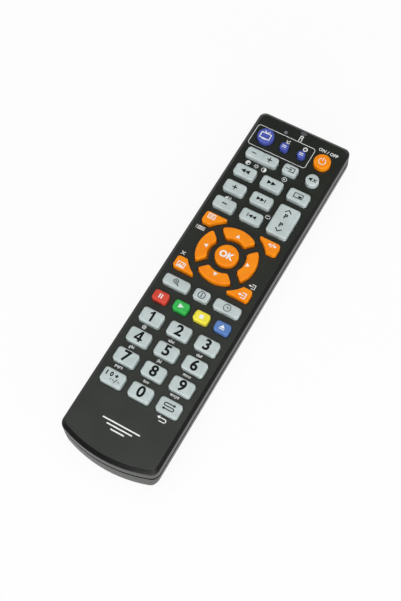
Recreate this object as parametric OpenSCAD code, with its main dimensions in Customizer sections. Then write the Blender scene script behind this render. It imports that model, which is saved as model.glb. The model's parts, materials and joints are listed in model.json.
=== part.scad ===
// Universal remote control lying on its back: +Y points to the infrared (head) end, +Z out of the face.
// The origin is on the surface that it lies on, under the middle of the case.

/* [Case] */
// Width of the case
body_w = 42.8; // [39:0.2:48]
// Length of the case, from the tail's middle to the head end
body_l = 166.4; // [152:0.4:184]
// Height of the face above the surface that the back lies on
body_h = 17.6; // [17.2:0.2:20]
// Depth of the parting line below the face
parting_drop = 5.1; // [4.2:0.1:5.4]
// Width of the sloped rim round the face, seen from above
rim_run = 1.4; // [0.8:0.1:1.7]
// Depth of the sloped rim
rim_drop = 1; // [0.5:0.1:1.4]
// Width of the sloped rim at the tail end
tail_rim = 1.8; // [0.8:0.1:2.2]
// Reach of the rounded back edge, seen from above
belly_run = 5.5; // [4:0.5:8]
// Height of the rounded back edge
belly_rise = 9.5; // [8:0.5:11]
// Reach of the rounded back edge at the tail end
tail_run = 1.6; // [1:0.1:3]
// Height of the rounded back edge at the tail end
tail_rise = 5; // [3:0.5:8]
// Corner radius at the head end
head_r = 3; // [2.6:0.2:6]
// Corner radius at the tail end
tail_r = 3.8; // [2.6:0.2:6]
// How far the tail end bows out at its middle
tail_bow = 4.4; // [2:0.2:6]
// Thickness of the side walls
wall = 1.8; // [1.6:0.1:2]
// Thickness of the face plate
face_t = 1.6; // [1.4:0.1:1.8]
// Thickness of the back's floor
floor_t = 1.8; // [1.8:0.1:2.2]
// Depth of the shadow groove at the parting line
groove = 0.5; // [0.2:0.05:0.6]
// Height of the shadow groove
groove_h = 1.4; // [0.3:0.1:1.6]

/* [Key layout] */
// Distance of the direction pad's centre from the head end
head_to_pad = 69.95; // [69:0.05:72]
// Distance of the outer keys from the case's side
side_margin = 4.2; // [3.7:0.025:4.6]
// Gap between the three key columns
col_gap = 3.1; // [2.2:0.05:3.2]
// Distance between the digit rows
digit_pitch = 9.7; // [9.4:0.1:10]
// Length of a digit key
digit_l = 6.1; // [5.8:0.1:7.4]
// Length of a volume or transport key
transport_l = 5.4; // [5.2:0.1:6.6]
// Distance between the transport rows
transport_pitch = 8.8; // [8.6:0.1:9]
// Length of the narrow keys in the picture, zoom and colour rows
slim_l = 4.6; // [4.4:0.1:5.8]
// Corner radius of a key
key_r = 1.2; // [0.6:0.1:1.8]
// Radius of the TV and power keys
disc_r = 3.65; // [3.4:0.05:4.2]
// Radius of the mute key
mute_r = 2.85; // [2.6:0.05:3.4]
// Size of the small satellite and disc keys
dot_w = 3.6; // [3.4:0.1:4.6]
// Gap between the colour keys
colour_gap = 2.85; // [2:0.05:3]
// Outer radius of the direction ring
ring_r = 12.9; // [12.6:0.1:13.4]
// Inner radius of the direction ring
ring_hole_r = 7.8; // [7.4:0.1:8.2]
// Width of the slots between the direction keys
ring_slot = 3.7; // [2.6:0.1:4]
// Radius of the OK key
ok_r = 4.9; // [4.6:0.1:5.3]
// Radius of the hollow that the corner keys leave round the direction ring
corner_hollow_r = 15.7; // [15.4:0.1:16.4]

/* [Key action] */
// Height of the key tops above the face
key_rise = 2.4; // [1.2:0.1:2.8]
// Bevel along the key tops
key_bevel = 0.4; // [0.2:0.05:0.5]
// Travel of a key
key_travel = 0.8; // [0.5:0.05:0.85]
// Tilt of a rocker key each way, in degrees
rocker_tilt = 4; // [2:0.5:4]
// Clearance between a key and its hole in the face
key_gap = 0.25; // [0.2:0.05:0.3]
// Clearance between a rocker key and its hole in the face
rocker_gap = 0.45; // [0.4:0.05:0.6]
// Reach of a key's skirt beyond the key
skirt = 0.55; // [0.45:0.05:0.6]
// Thickness of a key's skirt
skirt_t = 0.8; // [0.5:0.05:0.85]
// Clearance between a skirt and the face plate above it
skirt_gap = 0.15; // [0.1:0.05:0.2]
// Clearance between a skirt and the mat round it
mat_gap = 0.2; // [0.1:0.05:0.25]
// Radius of the carbon pill under a key
pill_r = 1.5; // [1:0.1:1.8]
// Radius of the axle that a rocker key tilts on
axle_r = 0.85; // [0.7:0.05:0.9]

/* [Inside] */
// Thickness of the keypad mat
mat_t = 2; // [1.9:0.05:2.2]
// Thickness of the circuit board
board_t = 1; // [0.8:0.1:1.2]
// Clearance between the board or the mat and the wall
board_gap = 0.3; // [0.2:0.1:0.5]
// Thickness of the contact pads printed on the board
pad_t = 0.05; // [0.02:0.01:0.1]
// Rest clearance under a key at the end of its travel
stop_gap = 0.05; // [0.02:0.01:0.1]
// Diameter of a screw boss under the face
boss_d = 3.4; // [3:0.1:3.8]
// Diameter of a board screw
screw_d = 1.5; // [1.2:0.1:1.6]
// Diameter of a board screw's head
screw_head_d = 2.8; // [2.4:0.1:3]
// Diameter of the indicator lamp
lamp_d = 1.6; // [1.4:0.1:2]
// Diameter of the infrared emitter
emitter_d = 5; // [4:0.5:5]
// Width of the infrared window
window_w = 20; // [18:1:24]
// Height of the infrared window
window_h = 4; // [3:0.2:4.2]

/* [Batteries] */
// Diameter of an AAA cell
cell_d = 10.5; // [10.3:0.1:10.6]
// Length of an AAA cell with its nub
cell_l = 44.5; // [44:0.1:45]
// Gap between the two cells
cell_space = 0.3; // [0.2:0.1:0.8]
// Room for a compressed contact spring
spring_l = 6.5; // [6:0.5:8]
// Number of turns in a contact spring
spring_turns = 4; // [3:1:4]
// Wire diameter of a contact spring
spring_wire = 0.7; // [0.5:0.1:0.8]
// Thickness of the sheet-metal contacts
contact_t = 0.3; // [0.2:0.1:0.5]
// Distance of the battery bay from the tail end
bay_tail = 8.5; // [8:0.5:10]
// Thickness of the battery door
door_t = 1.5; // [1.3:0.1:1.6]
// Width of the battery door without its runners
door_w = 22.8; // [22:0.2:24]
// Reach of the door's runners
runner = 1; // [0.8:0.1:1.2]
// Clearance round the battery door
door_gap = 0.25; // [0.2:0.05:0.35]

/* [Hidden] */
$fn = 48;
// Slack by which a cut passes the face that it opens
cut = 1;

// Heights of the stack from the back to the key tops
split_z = body_h - parting_drop;
rim_z = body_h - rim_drop;
plate_under = body_h - face_t;
board_top = plate_under - mat_t;
board_under = board_top - board_t;
pad_top = board_top + pad_t;
skirt_top = plate_under - skirt_gap;
skirt_under = skirt_top - skirt_t;
pill_under = pad_top + key_travel + stop_gap;
key_top = body_h + key_rise;
axle_z = pad_top + stop_gap + axle_r;

// Outline of the case
tail_arc_r = (pow(body_w / 2, 2) + pow(tail_bow, 2)) / (2 * tail_bow);
tail_arc_y = tail_arc_r - body_l / 2;
least_corner_r = 2.5;
corner_steps = 7;
tail_steps = 12;
belly_step = 10;
board_inset = wall + board_gap;

// Tongue of the lower case inside the upper case
tongue_inset = wall / 2;
tongue_gap = 0.1;
tongue_h = 1;
shelf_w = 1.2;
shelf_t = 1;

// Key columns, which fill the face between its side margins
keys_half_w = body_w / 2 - side_margin;
key_w = (2 * keys_half_w - 2 * col_gap) / 3;
col_pitch = key_w + col_gap;
colour_w = (2 * keys_half_w - 3 * colour_gap) / 4;
colour_pitch = colour_w + colour_gap;
info_w = 6.55;
zoom_gap = 2.6;
zoom_w = keys_half_w - info_w / 2 - zoom_gap;
zoom_x = keys_half_w - zoom_w / 2;
corner_inset = 0.1;
corner_x = keys_half_w - corner_inset - key_w / 2;
device_inset = 0.2;
device_x = keys_half_w - device_inset - disc_r;
dot_shift = 0.85;
dot_x = (device_x - disc_r) / 2 - dot_shift;
picture_inset = 0.275;
picture_near = 2.475;
picture_w = keys_half_w - picture_inset - picture_near;
picture_x = -picture_near - picture_w / 2;
source_x = 3.6;
mute_inset = 0.5;
mute_x = keys_half_w - mute_inset - mute_r;

// Key rows, measured from the centre of the direction pad
pad_y = body_l / 2 - head_to_pad;
device_y = 57.8;
dot_y = 56.8;
picture_y = 47.8;
transport_y = 38.1;
channel_l = transport_pitch + transport_l;
corner_y = 11.7;
corner_l = 5.4;
zoom_y = -20.3;
colour_y = -28.5;
digit_y = -38;
pill_margin = 0.6;
corner_pill_dx = 1.2;
corner_pill_dy = 0.9;
rocker_pill_in = 2.45;
waist_r = 1.2;
waist_depth = 0.35;

// Battery bay
cell_lift = 0.3;
cell_x = (cell_d + cell_space) / 2;
cell_z = door_t + cell_lift + cell_d / 2;
nub_d = 3.8;
nub_l = 0.8;
touch_gap = 0.05;
bay_l = cell_l + spring_l + 2 * contact_t;
bay_tail_y = -body_l / 2 + bay_tail;
bay_head_y = bay_tail_y + bay_l;
bay_wall = 1;
cell_play = 0.25;
bay_roof = cell_z + cell_d / 2 + cell_play;
lip_t = 0.6;
runner_t = door_t - lip_t - door_gap;
slot_w = door_w + 2 * runner + 2 * door_gap;
bay_w = slot_w + 2 * tongue_gap;
bay_floor = door_t + cell_lift;
cradle_t = 2;
cradle_share = [0.2, 0.5, 0.8];
tab_w = 6;
tab_l = 1.5;
grip_start = 5;
grip_count = 5;
grip_pitch = 2;
grip_w = 0.9;
grip_depth = 0.35;
grip_l = 12;
contact_w = 8.4;
spring_r = 3.6;
spring_tip_r = 2.3;
spring_rings = 8;
spring_sides = 6;

// Screws, lamp and infrared parts
screw_side = 5.2;
screw_end = 5;
screw_tail_x = 8;
screw_bay_gap = 0.5;
screw_head_x = body_w / 2 - screw_side;
screw_head_y = body_l / 2 - screw_end;
screw_tail_y = bay_tail_y - bay_wall - screw_bay_gap - screw_head_d / 2;
screw_spots = [
    [-screw_head_x, screw_head_y], [screw_head_x, screw_head_y],
    [-screw_tail_x, screw_tail_y], [screw_tail_x, screw_tail_y]
];
screw_head_t = 0.9;
screw_room = 0.05;
screw_bite = 0.6;
screw_depth = plate_under + screw_bite - board_under;
recess_share = 0.6;
recess_w = 0.4;
pass_gap = 0.2;
lamp_x = -7.2;
lamp_y = 64.5;
lamp_spot = [lamp_x, pad_y + lamp_y];
lamp_base_d = 2.8;
lamp_base_t = 1;
window_gap = 0.1;
window_lip = 0.5;
window_top = min(board_under - shelf_t - window_gap, split_z - groove_h - window_lip);
window_flange = 1;
window_flange_t = 1.2;
infrared_x = 5;
infrared_drop = 0.7;
infrared_z = board_under - emitter_d / 2 - infrared_drop;
window_back = body_l / 2 - wall - window_gap - window_flange_t;
infrared_tip_y = window_back - touch_gap - cell_lift;
infrared_l = 7;
flange_extra = 0.4;
flange_t = 1;
lead_w = 0.5;
lead_pitch = 2.54;
lead_run = 1.6;
receiver_w = 5.6;
receiver_t = 3.4;
receiver_lens_r = 1.5;

// Board parts, measured from the direction pad like the keys
chip_y = 27.1;
chip_w = 7.5;
chip_l = 15.6;
chip_t = 2.3;
chip_leg_count = 12;
chip_leg_pitch = 1.27;
leg_w = 0.42;
leg_t = 0.25;
leg_reach = 1.4;
chip_lift = 0.1;

// Other board parts: x, y, width, length and drop below the board
memory_chip = [-12, 15.1, 6, 5, 1.8];
resonator = [12, 31.1, 4.6, 11, 3.6];
transistor = [-12, 43.1, 4.2, 4, 3.4];
capacitor_spot = [12, 43.1];
capacitor_d = 5;
capacitor_l = 6.5;
resistor = [-6, 7.1, 1.2, 2.1, 0.6];
resistor_pitch = 2.4;
resistor_count = 6;

// Keys: name, kind, x and y from the pad's centre, width, length, colour
grey = "#cfd6d6";
orange = "#f08a1d";
violet = "#4b4fb5";
ARROWS = ["up", "left", "down", "right"];
COLOURS = [["red", "#d8453c"], ["green", "#35ad55"], ["yellow", "#ecdc3c"], ["blue", "#4a72be"]];
TRANSPORT = [
    ["key_rewind", "key_forward", "key_preset"],
    ["key_volume_up", "key_next"],
    ["key_volume_down", "key_previous"]
];
CORNERS = [["key_menu", -1, 1], ["key_sound", 1, 1], ["key_picture", -1, -1], ["key_exit", 1, -1]];
DIGITS = ["key_1", "key_2", "key_3", "key_4", "key_5", "key_6", "key_7", "key_8", "key_9",
    "key_ten_plus", "key_0", "key_return"];
KEYS = concat(
    [
        ["key_tv", "disc", -device_x, device_y, 2 * disc_r, 2 * disc_r, violet],
        ["key_satellite", "pad", -dot_x, dot_y, dot_w, dot_w, violet],
        ["key_disc", "disc", dot_x, dot_y, dot_w, dot_w, violet],
        ["key_power", "disc", device_x, device_y, 2 * disc_r, 2 * disc_r, orange],
        ["rocker_picture", "rocker", picture_x, picture_y, picture_w, slim_l, grey],
        ["key_source", "pad", source_x, picture_y, info_w, slim_l, grey],
        ["key_mute", "disc", mute_x, picture_y, 2 * mute_r, 2 * mute_r, grey],
        ["rocker_channel", "rocker", col_pitch, transport_y - 1.5 * transport_pitch, key_w, channel_l, grey],
        ["key_ok", "disc", 0, 0, 2 * ok_r, 2 * ok_r, orange],
        ["key_zoom", "pad", -zoom_x, zoom_y, zoom_w, slim_l, grey],
        ["key_info", "pad", 0, zoom_y, info_w, slim_l, grey],
        ["key_timer", "pad", zoom_x, zoom_y, zoom_w, slim_l, grey]
    ],
    [for (row = [0:len(TRANSPORT) - 1], col = [0:len(TRANSPORT[row]) - 1])
        let (x = (col - 1) * col_pitch, y = transport_y - row * transport_pitch)
        [TRANSPORT[row][col], "pad", x, y, key_w, transport_l, grey]],
    [for (k = CORNERS) [k[0], "corner", k[1] * corner_x, k[2] * corner_y, key_w, corner_l, orange]],
    [for (i = [0:3]) [str("key_", ARROWS[i]), "arc", 0, 0, i * 90, 0, orange]],
    [for (i = [0:3]) let (x = (i - 1.5) * colour_pitch)
        [str("key_", COLOURS[i][0]), "pad", x, colour_y, colour_w, slim_l, COLOURS[i][1]]],
    [for (i = [0:11]) let (x = (i % 3 - 1) * col_pitch, y = digit_y - floor(i / 3) * digit_pitch)
        [DIGITS[i], "pad", x, y, key_w, digit_l, grey]]
);

// Points on an arc round a centre, both ends included
function arc_points(centre, r, from, to, steps) =
    [for (i = [0:steps]) let (a = from + (to - from) * i / steps) centre + r * [cos(a), sin(a)]];

// Outline of the case, drawn in by an inset, and at its bowed tail by one of its own
function case_outline(inset, tail_inset) =
    let (
        half = body_w / 2 - inset,
        head = body_l / 2 - inset,
        rh = max(head_r - inset, least_corner_r),
        rt = max(tail_r - inset, least_corner_r),
        arc_r = tail_arc_r - (is_undef(tail_inset) ? inset : tail_inset),
        cx = half - rt,
        cy = tail_arc_y - sqrt(pow(arc_r - rt, 2) - cx * cx),
        turn = atan2(cy - tail_arc_y, cx),
        tail = arc_points([0, tail_arc_y], arc_r, -180 - turn, turn, tail_steps)
    )
    concat(
        [for (i = [1:tail_steps - 1]) tail[i]],
        arc_points([cx, cy], rt, turn, 0, corner_steps),
        arc_points([half - rh, head - rh], rh, 0, 90, corner_steps),
        arc_points([rh - half, head - rh], rh, 90, 180, corner_steps),
        arc_points([-cx, cy], rt, 180, 180 - turn, corner_steps)
    );

// Case outline lifted to a height
function case_ring(inset, z, tail_inset) = [for (p = case_outline(inset, tail_inset)) [p[0], p[1], z]];

// Reach of the rounded back edge at the tail end, at a height above the lowest flat
function tail_reach(z, low) = let (share = max(0, (tail_rise - z) / (tail_rise - low)))
    tail_run * (1 - sqrt(1 - share * share));

// Closed solid through a stack of rings with equal counts of points, lowest first
module loft(rings) {
    n = len(rings[0]);
    last = len(rings) - 1;
    sides = [for (j = [0:last - 1]) for (i = [0:n - 1])
        let (a = j * n + i, b = j * n + (i + 1) % n)
        each [[a, a + n, b], [b, a + n, b + n]]];
    base = [for (i = [0:n - 1]) i];
    roof = [for (i = [n - 1:-1:0]) last * n + i];
    polyhedron(points = [for (ring = rings) each ring], faces = concat(sides, [base, roof]));
}

// Slab of the case outline between two heights
module case_slab(inset, low, high) {
    translate([0, 0, low]) linear_extrude(high - low) polygon(case_outline(inset));
}

// Ring between two insets of the case outline
module case_band(outer, inner, low, high) {
    difference() {
        case_slab(outer, low, high);
        case_slab(inner, low - cut, high + cut);
    }
}

// Rounded back, from its lowest flat up to the parting line
module belly(inset, low, high) {
    loft(concat(
        [for (t = [90:-belly_step:0])
            let (z = low + (belly_rise - low) * (1 - sin(t)))
            case_ring(inset + belly_run * (1 - cos(t)), z, inset + tail_reach(z, low))],
        [case_ring(inset, high)]
    ));
}

// Box given by its lowest and highest corners
module block(low, high) {
    translate(low) cube(high - low);
}

// Rounded rectangle with true arcs
module rounded(w, l, r) {
    square([w - 2 * r, l], center = true);
    square([w, l - 2 * r], center = true);
    for (sx = [-1, 1], sy = [-1, 1])
        translate([sx * (w / 2 - r), sy * (l / 2 - r)]) circle(r);
}

// Wedge of the plane that one direction key keeps between the two diagonal slots
module quadrant(grow) {
    apex = (ring_slot / 2 - grow) * sqrt(2);
    polygon([[0, apex], [2 * ring_r, apex + 2 * ring_r], [-2 * ring_r, apex + 2 * ring_r]]);
}

// Outline of a key, grown by a margin, from the pad's centre
module key_shape(k, grow = 0) {
    if (k[1] == "arc")
        rotate(k[4]) intersection() {
            difference() {
                circle(ring_r + grow);
                circle(ring_hole_r - grow);
            }
            quadrant(grow);
        }
    else if (k[1] == "corner")
        difference() {
            translate([k[2], k[3]]) rounded(k[4] + 2 * grow, k[5] + 2 * grow, key_r + grow);
            circle(corner_hollow_r - grow);
        }
    else if (k[1] == "disc")
        translate([k[2], k[3]]) circle(k[4] / 2 + grow);
    else
        translate([k[2], k[3]]) rounded(k[4] + 2 * grow, k[5] + 2 * grow, key_r + grow);
}

// Half section of a key's top with its bevel, from the middle out to an edge
function bevelled(edge) = [
    [0, skirt_under], [edge, skirt_under], [edge, key_top - key_bevel],
    [edge - key_bevel, key_top], [0, key_top]
];

// Full section of a key's top, bevelled at both edges
function crowned(half) = concat(
    [for (p = bevelled(half)) if (p[0] > 0) p],
    [for (i = [3:-1:1]) let (p = bevelled(half)[i]) [-p[0], p[1]]]
);

// Straight bar with a key's bevelled section in both directions
module bevelled_bar(w, l) {
    intersection() {
        rotate([90, 0, 0]) linear_extrude(l + cut, center = true) polygon(crowned(w / 2));
        rotate([90, 0, 90]) linear_extrude(w + cut, center = true) polygon(crowned(l / 2));
    }
}

// Part of a key that stands in its hole and above the face
module key_cap(k) {
    if (k[1] == "disc")
        translate([k[2], k[3]]) rotate_extrude() polygon(bevelled(k[4] / 2));
    else if (k[1] == "arc")
        intersection() {
            rotate_extrude() polygon([
                [ring_hole_r, skirt_under], [ring_r, skirt_under], [ring_r, key_top - key_bevel],
                [ring_r - key_bevel, key_top], [ring_hole_r + key_bevel, key_top],
                [ring_hole_r, key_top - key_bevel]
            ]);
            translate([0, 0, skirt_under - cut]) linear_extrude(key_top - skirt_under + 2 * cut)
                rotate(k[4]) quadrant(0);
        }
    else
        intersection() {
            translate([0, 0, skirt_under]) linear_extrude(key_top - skirt_under) key_shape(k);
            translate([k[2], k[3]]) bevelled_bar(k[4], k[5]);
        }
}

// Centres of the carbon pills under a key
function pill_spots(k) =
    k[1] == "arc" ? [(ring_r + ring_hole_r) / 2 * [-sin(k[4]), cos(k[4])]] :
    k[1] == "corner" ? [[k[2] + sign(k[2]) * corner_pill_dx, k[3] + sign(k[3]) * corner_pill_dy]] :
    k[1] == "rocker" ? [for (s = [-1, 1]) [k[2], k[3]] + s * rocker_pill_x(k) * rocker_way(k)] :
    [[k[2], k[3]]];

// Radius of the carbon pills under a key
function key_pill_r(k) = k[1] == "arc" ? pill_r : min(pill_r, min(k[4], k[5]) / 2 - pill_margin);

// Direction from a rocker key's middle to its ends
function rocker_way(k) = k[4] > k[5] ? [1, 0] : [0, 1];

// Distance of a rocker key's pills from its middle
function rocker_pill_x(k) = max(k[4], k[5]) / 2 - rocker_pill_in;

// Height of the underside of a key's pills
function key_pill_z(k) =
    k[1] == "rocker" ? pad_top + (rocker_pill_x(k) + pill_r) * sin(rocker_tilt) + stop_gap : pill_under;

// Clearance of a key's hole in the face plate
function hole_gap(k) = k[1] == "rocker" ? rocker_gap : key_gap;

// Axle across the middle of a rocker key, held under the face plate
module rocker_axle(k) {
    across = min(k[4], k[5]) + 2 * skirt;
    translate([k[2], k[3], axle_z])
        rotate(k[4] > k[5] ? [90, 0, 0] : [0, 90, 0]) cylinder(across, r = axle_r, center = true);
}

// Shallow notches at the middle of the picture rocker
module rocker_waist(k) {
    for (s = [-1, 1])
        translate([k[2], k[3] + s * (k[5] / 2 + waist_r - waist_depth), 0])
            cylinder(key_top + cut, r = waist_r);
}

// One rubber key with its skirt or axle and its carbon pills
module key(k) {
    color(k[6]) translate([0, pad_y, 0]) {
        difference() {
            key_cap(k);
            if (k[0] == "rocker_picture") rocker_waist(k);
        }
        if (k[1] == "rocker")
            rocker_axle(k);
        else
            translate([0, 0, skirt_under]) linear_extrude(skirt_t) key_shape(k, skirt);
        for (p = pill_spots(k))
            translate([p[0], p[1], key_pill_z(k)])
                cylinder(skirt_under + skirt_t / 2 - key_pill_z(k), r = key_pill_r(k));
    }
}

// Face plate with its key holes, sloped rim, side wall and screw bosses
module upper_case() {
    color("#30322f") difference() {
        union() {
            difference() {
                loft([case_ring(0, split_z), case_ring(0, rim_z), case_ring(rim_run, body_h, tail_rim)]);
                case_slab(wall, split_z - cut, plate_under);
                case_slab(tongue_inset, split_z - cut, split_z + tongue_h + tongue_gap);
            }
            for (p = screw_spots)
                translate([p[0], p[1], board_top]) cylinder(plate_under - board_top + face_t / 2, d = boss_d);
        }
        for (k = KEYS)
            translate([0, pad_y, plate_under - cut])
                linear_extrude(face_t + 2 * cut) key_shape(k, hole_gap(k));
        for (p = screw_spots)
            translate([p[0], p[1], board_top - cut])
                cylinder(plate_under - board_top + cut + face_t / 2, d = screw_d + 2 * screw_room);
        translate([lamp_spot[0], lamp_spot[1], plate_under - cut])
            cylinder(face_t + 2 * cut, d = lamp_d + pass_gap);
    }
}

// Opening in the back that the battery door and its runners slide in
module door_slot() {
    tail = -body_l / 2 - cut;
    half = door_w / 2 + door_gap;
    block([-half, tail, -cut], [half, bay_head_y, bay_floor]);
    block([-slot_w / 2, tail, lip_t], [slot_w / 2, bay_head_y, bay_floor]);
    block([-slot_w / 2, bay_tail_y, lip_t], [slot_w / 2, bay_head_y, floor_t + cut]);
    block([-tab_w / 2 - door_gap, bay_head_y - cut, lip_t],
        [tab_w / 2 + door_gap, bay_head_y + tab_l, door_t + door_gap]);
}

// Walls round the two cells and the cradles that hold the cells sideways
module battery_bay() {
    half = bay_w / 2;
    low = floor_t / 2;
    for (side = [0, 1])
        mirror([side, 0, 0]) {
            block([half, bay_tail_y - bay_wall, low], [half + bay_wall, bay_head_y + bay_wall, bay_roof]);
            for (share = cradle_share)
                block([cell_x + cell_d / 2 + cell_play, bay_tail_y + share * bay_l - cradle_t / 2, low],
                    [half + bay_wall / 2, bay_tail_y + share * bay_l + cradle_t / 2, bay_roof]);
        }
    for (y = [bay_tail_y - bay_wall, bay_head_y])
        block([-half - bay_wall / 2, y, low], [half + bay_wall / 2, y + bay_wall, bay_roof]);
}

// Opening in the head end for the infrared window
module window_slot(gap) {
    block([-window_w / 2 - gap, window_back, window_top - window_h - gap],
        [window_w / 2 + gap, body_l / 2 + cut, window_top + gap]);
}

// Back shell with its tongue, board shelf, battery bay and window opening
module lower_case() {
    color("#3a3c39") difference() {
        union() {
            difference() {
                belly(0, 0, split_z);
                belly(wall, floor_t, split_z + cut);
                case_band(-cut, groove, split_z - groove_h, split_z + cut);
            }
            case_band(tongue_inset + tongue_gap, wall, split_z - shelf_t, split_z + tongue_h);
            case_band(wall - tongue_gap, wall + shelf_w, board_under - shelf_t, board_under);
            intersection() {
                battery_bay();
                belly(wall / 2, floor_t / 2, split_z);
            }
        }
        door_slot();
        window_slot(window_gap);
        for (p = screw_spots)
            translate([p[0], p[1], board_under - screw_head_t - pass_gap])
                cylinder(screw_head_t + pass_gap + cut, d = screw_head_d + 2 * pass_gap);
    }
}

// Sliding battery door with its runners, latch tab and thumb grooves
module battery_door() {
    head = bay_head_y - door_gap;
    tail = -body_l / 2 - cut;
    half = door_w / 2;
    color("#3a3c39") difference() {
        union() {
            intersection() {
                belly(0, 0, split_z);
                union() {
                    block([-half, tail, 0], [half, head, door_t]);
                    block([-half - runner, tail, door_t - runner_t], [half + runner, head, door_t]);
                }
            }
            block([-tab_w / 2, head - cut, door_t - runner_t],
                [tab_w / 2, bay_head_y + tab_l - door_gap, door_t]);
        }
        for (i = [0:grip_count - 1])
            translate([-grip_l / 2, head - grip_start - i * grip_pitch, -cut])
                cube([grip_l, grip_w, grip_depth + cut]);
    }
}

// Rubber sheet between the face plate and the board, with a window round each key
module keypad_mat() {
    color("#b9c0c0") translate([0, 0, board_top]) linear_extrude(mat_t) difference() {
        polygon(case_outline(board_inset));
        for (k = KEYS)
            translate([0, pad_y]) key_shape(k, skirt + mat_gap);
        for (p = screw_spots)
            translate(p) circle(d = boss_d + 2 * pass_gap);
        translate(lamp_spot) circle(d = lamp_base_d + 2 * pass_gap);
    }
}

// Board with its screw holes and the contact pads under the keys
module circuit_board() {
    color("#2f6b3c") {
        translate([0, 0, board_under]) linear_extrude(board_t) difference() {
            polygon(case_outline(board_inset));
            for (p = screw_spots)
                translate(p) circle(d = screw_d + pass_gap);
        }
        for (k = KEYS, p = pill_spots(k))
            translate([p[0], p[1] + pad_y, board_top - board_t / 2])
                cylinder(board_t / 2 + pad_t, r = key_pill_r(k) + pass_gap);
    }
}

// Bent leads from the back of an infrared part up to the board
module bent_leads(offsets, back_y) {
    for (x = offsets) {
        block([x - lead_w / 2, back_y - lead_run, infrared_z - lead_w / 2],
            [x + lead_w / 2, back_y + lead_w, infrared_z + lead_w / 2]);
        block([x - lead_w / 2, back_y - lead_run, infrared_z - lead_w / 2],
            [x + lead_w / 2, back_y - lead_run + lead_w, board_under]);
    }
}

// Round infrared emitter with its domed tip, flange and two leads
module infrared_emitter() {
    r = emitter_d / 2;
    back = infrared_tip_y - infrared_l;
    color("#7d6f8f") {
        translate([infrared_x, back, infrared_z]) rotate([-90, 0, 0]) {
            cylinder(infrared_l - r, r = r);
            cylinder(flange_t, r = r + flange_extra);
            translate([0, 0, infrared_l - r]) sphere(r);
        }
        bent_leads([infrared_x - lead_pitch / 2, infrared_x + lead_pitch / 2], back);
    }
}

// Moulded infrared receiver with its lens and three leads
module infrared_receiver() {
    back = infrared_tip_y - infrared_l;
    front = back + receiver_t;
    color("#26262a") {
        block([-infrared_x - receiver_w / 2, back, infrared_z - receiver_w / 2],
            [-infrared_x + receiver_w / 2, front, infrared_z + receiver_w / 2]);
        translate([-infrared_x, front, infrared_z]) sphere(receiver_lens_r);
        bent_leads([for (i = [-1:1]) -infrared_x + i * lead_pitch], back);
    }
}

// Dark window set in the head end, held by its inner flange
module infrared_window() {
    color("#2a0d10") {
        intersection() {
            belly(0, 0, split_z);
            window_slot(0);
        }
        intersection() {
            belly(wall + window_gap, floor_t, split_z);
            block([-window_w / 2 - window_flange, window_back, window_top - window_h - window_flange],
                [window_w / 2 + window_flange, body_l / 2, window_top]);
        }
    }
}

// Lamp on the board that shows through the face
module indicator_lamp() {
    color("#8f9694") translate([lamp_spot[0], lamp_spot[1], board_top]) {
        cylinder(lamp_base_t, d = lamp_base_d);
        cylinder(body_h - board_top, d = lamp_d);
    }
}

// AAA cell along Y with its nub at one end
module cell(x, nub_end_y, way) {
    translate([x, nub_end_y, cell_z]) rotate([way * 90, 0, 0]) {
        cylinder(nub_l + cut, d = nub_d);
        translate([0, 0, nub_l]) cylinder(cell_l - nub_l, d = cell_d);
    }
}

// Cell whose nub touches the bridge at the tail
module battery_left() {
    color("#4f6f4d") cell(-cell_x, bay_tail_y + contact_t + touch_gap, -1);
}

// Cell whose nub touches the positive plate at the head
module battery_right() {
    color("#4f6f4d") cell(cell_x, bay_head_y - contact_t - touch_gap, 1);
}

// Centre line of a contact spring: a tapering helix with straight ends
spring_points = let (
        rise = spring_l - 2 * touch_gap - 1.5 * spring_wire,
        steps = spring_turns * spring_rings,
        turn = [for (i = [0:steps]) let (
                t = i / steps,
                r = spring_r + (spring_tip_r - spring_r) * t,
                a = 360 * spring_turns * t)
            [r * cos(a), r * sin(a), spring_wire + rise * t]]
    )
    concat([[turn[0][0], turn[0][1], -contact_t / 2]], turn);

// Least clear gap between turns of the spring
spring_last = len(spring_points) - 1;
spring_self_gap = min([for (i = [1:spring_last], j = [1:spring_last])
    if (j - i > spring_rings - 3) norm(spring_points[i] - spring_points[j])]) - spring_wire;
echo(spring_self_gap = spring_self_gap);

// Round wire swept along a line of points
module wire(points, d) {
    n = len(points);
    rings = [for (i = [0:n - 1]) let (
            ahead = points[min(i + 1, n - 1)] - points[max(i - 1, 0)],
            along = ahead / norm(ahead),
            side0 = cross(along, [points[i][0], points[i][1], 0]),
            side = side0 / norm(side0),
            up = cross(along, side))
        [for (s = [0:spring_sides - 1]) let (a = 360 * s / spring_sides)
            points[i] + d / 2 * (cos(a) * side + sin(a) * up)]];
    loft(rings);
}

// Contact spring that stands on a plate at a bay wall and reaches a cell
module contact_spring(x, wall_y, way) {
    translate([x, wall_y, cell_z]) rotate([way * 90, 0, 0]) wire(spring_points, spring_wire);
}

// Sheet contact against a bay wall
module contact_plate(low_x, high_x, y) {
    block([low_x, y, cell_z - contact_w / 2], [high_x, y + contact_t, cell_z + contact_w / 2]);
}

// Spring and plate at the head end of the left cell
module negative_spring() {
    color("#c9ccd0") {
        contact_plate(-cell_x - contact_w / 2, -cell_x + contact_w / 2, bay_head_y - contact_t);
        contact_spring(-cell_x, bay_head_y - contact_t, 1);
    }
}

// Plate at the head end of the right cell
module positive_plate() {
    color("#c9ccd0") contact_plate(cell_x - contact_w / 2, cell_x + contact_w / 2, bay_head_y - contact_t);
}

// Plate across the tail end with the right cell's spring
module bridge_contact() {
    color("#c9ccd0") {
        contact_plate(-cell_x - contact_w / 2, cell_x + contact_w / 2, bay_tail_y);
        contact_spring(cell_x, bay_tail_y + contact_t, -1);
    }
}

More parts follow.
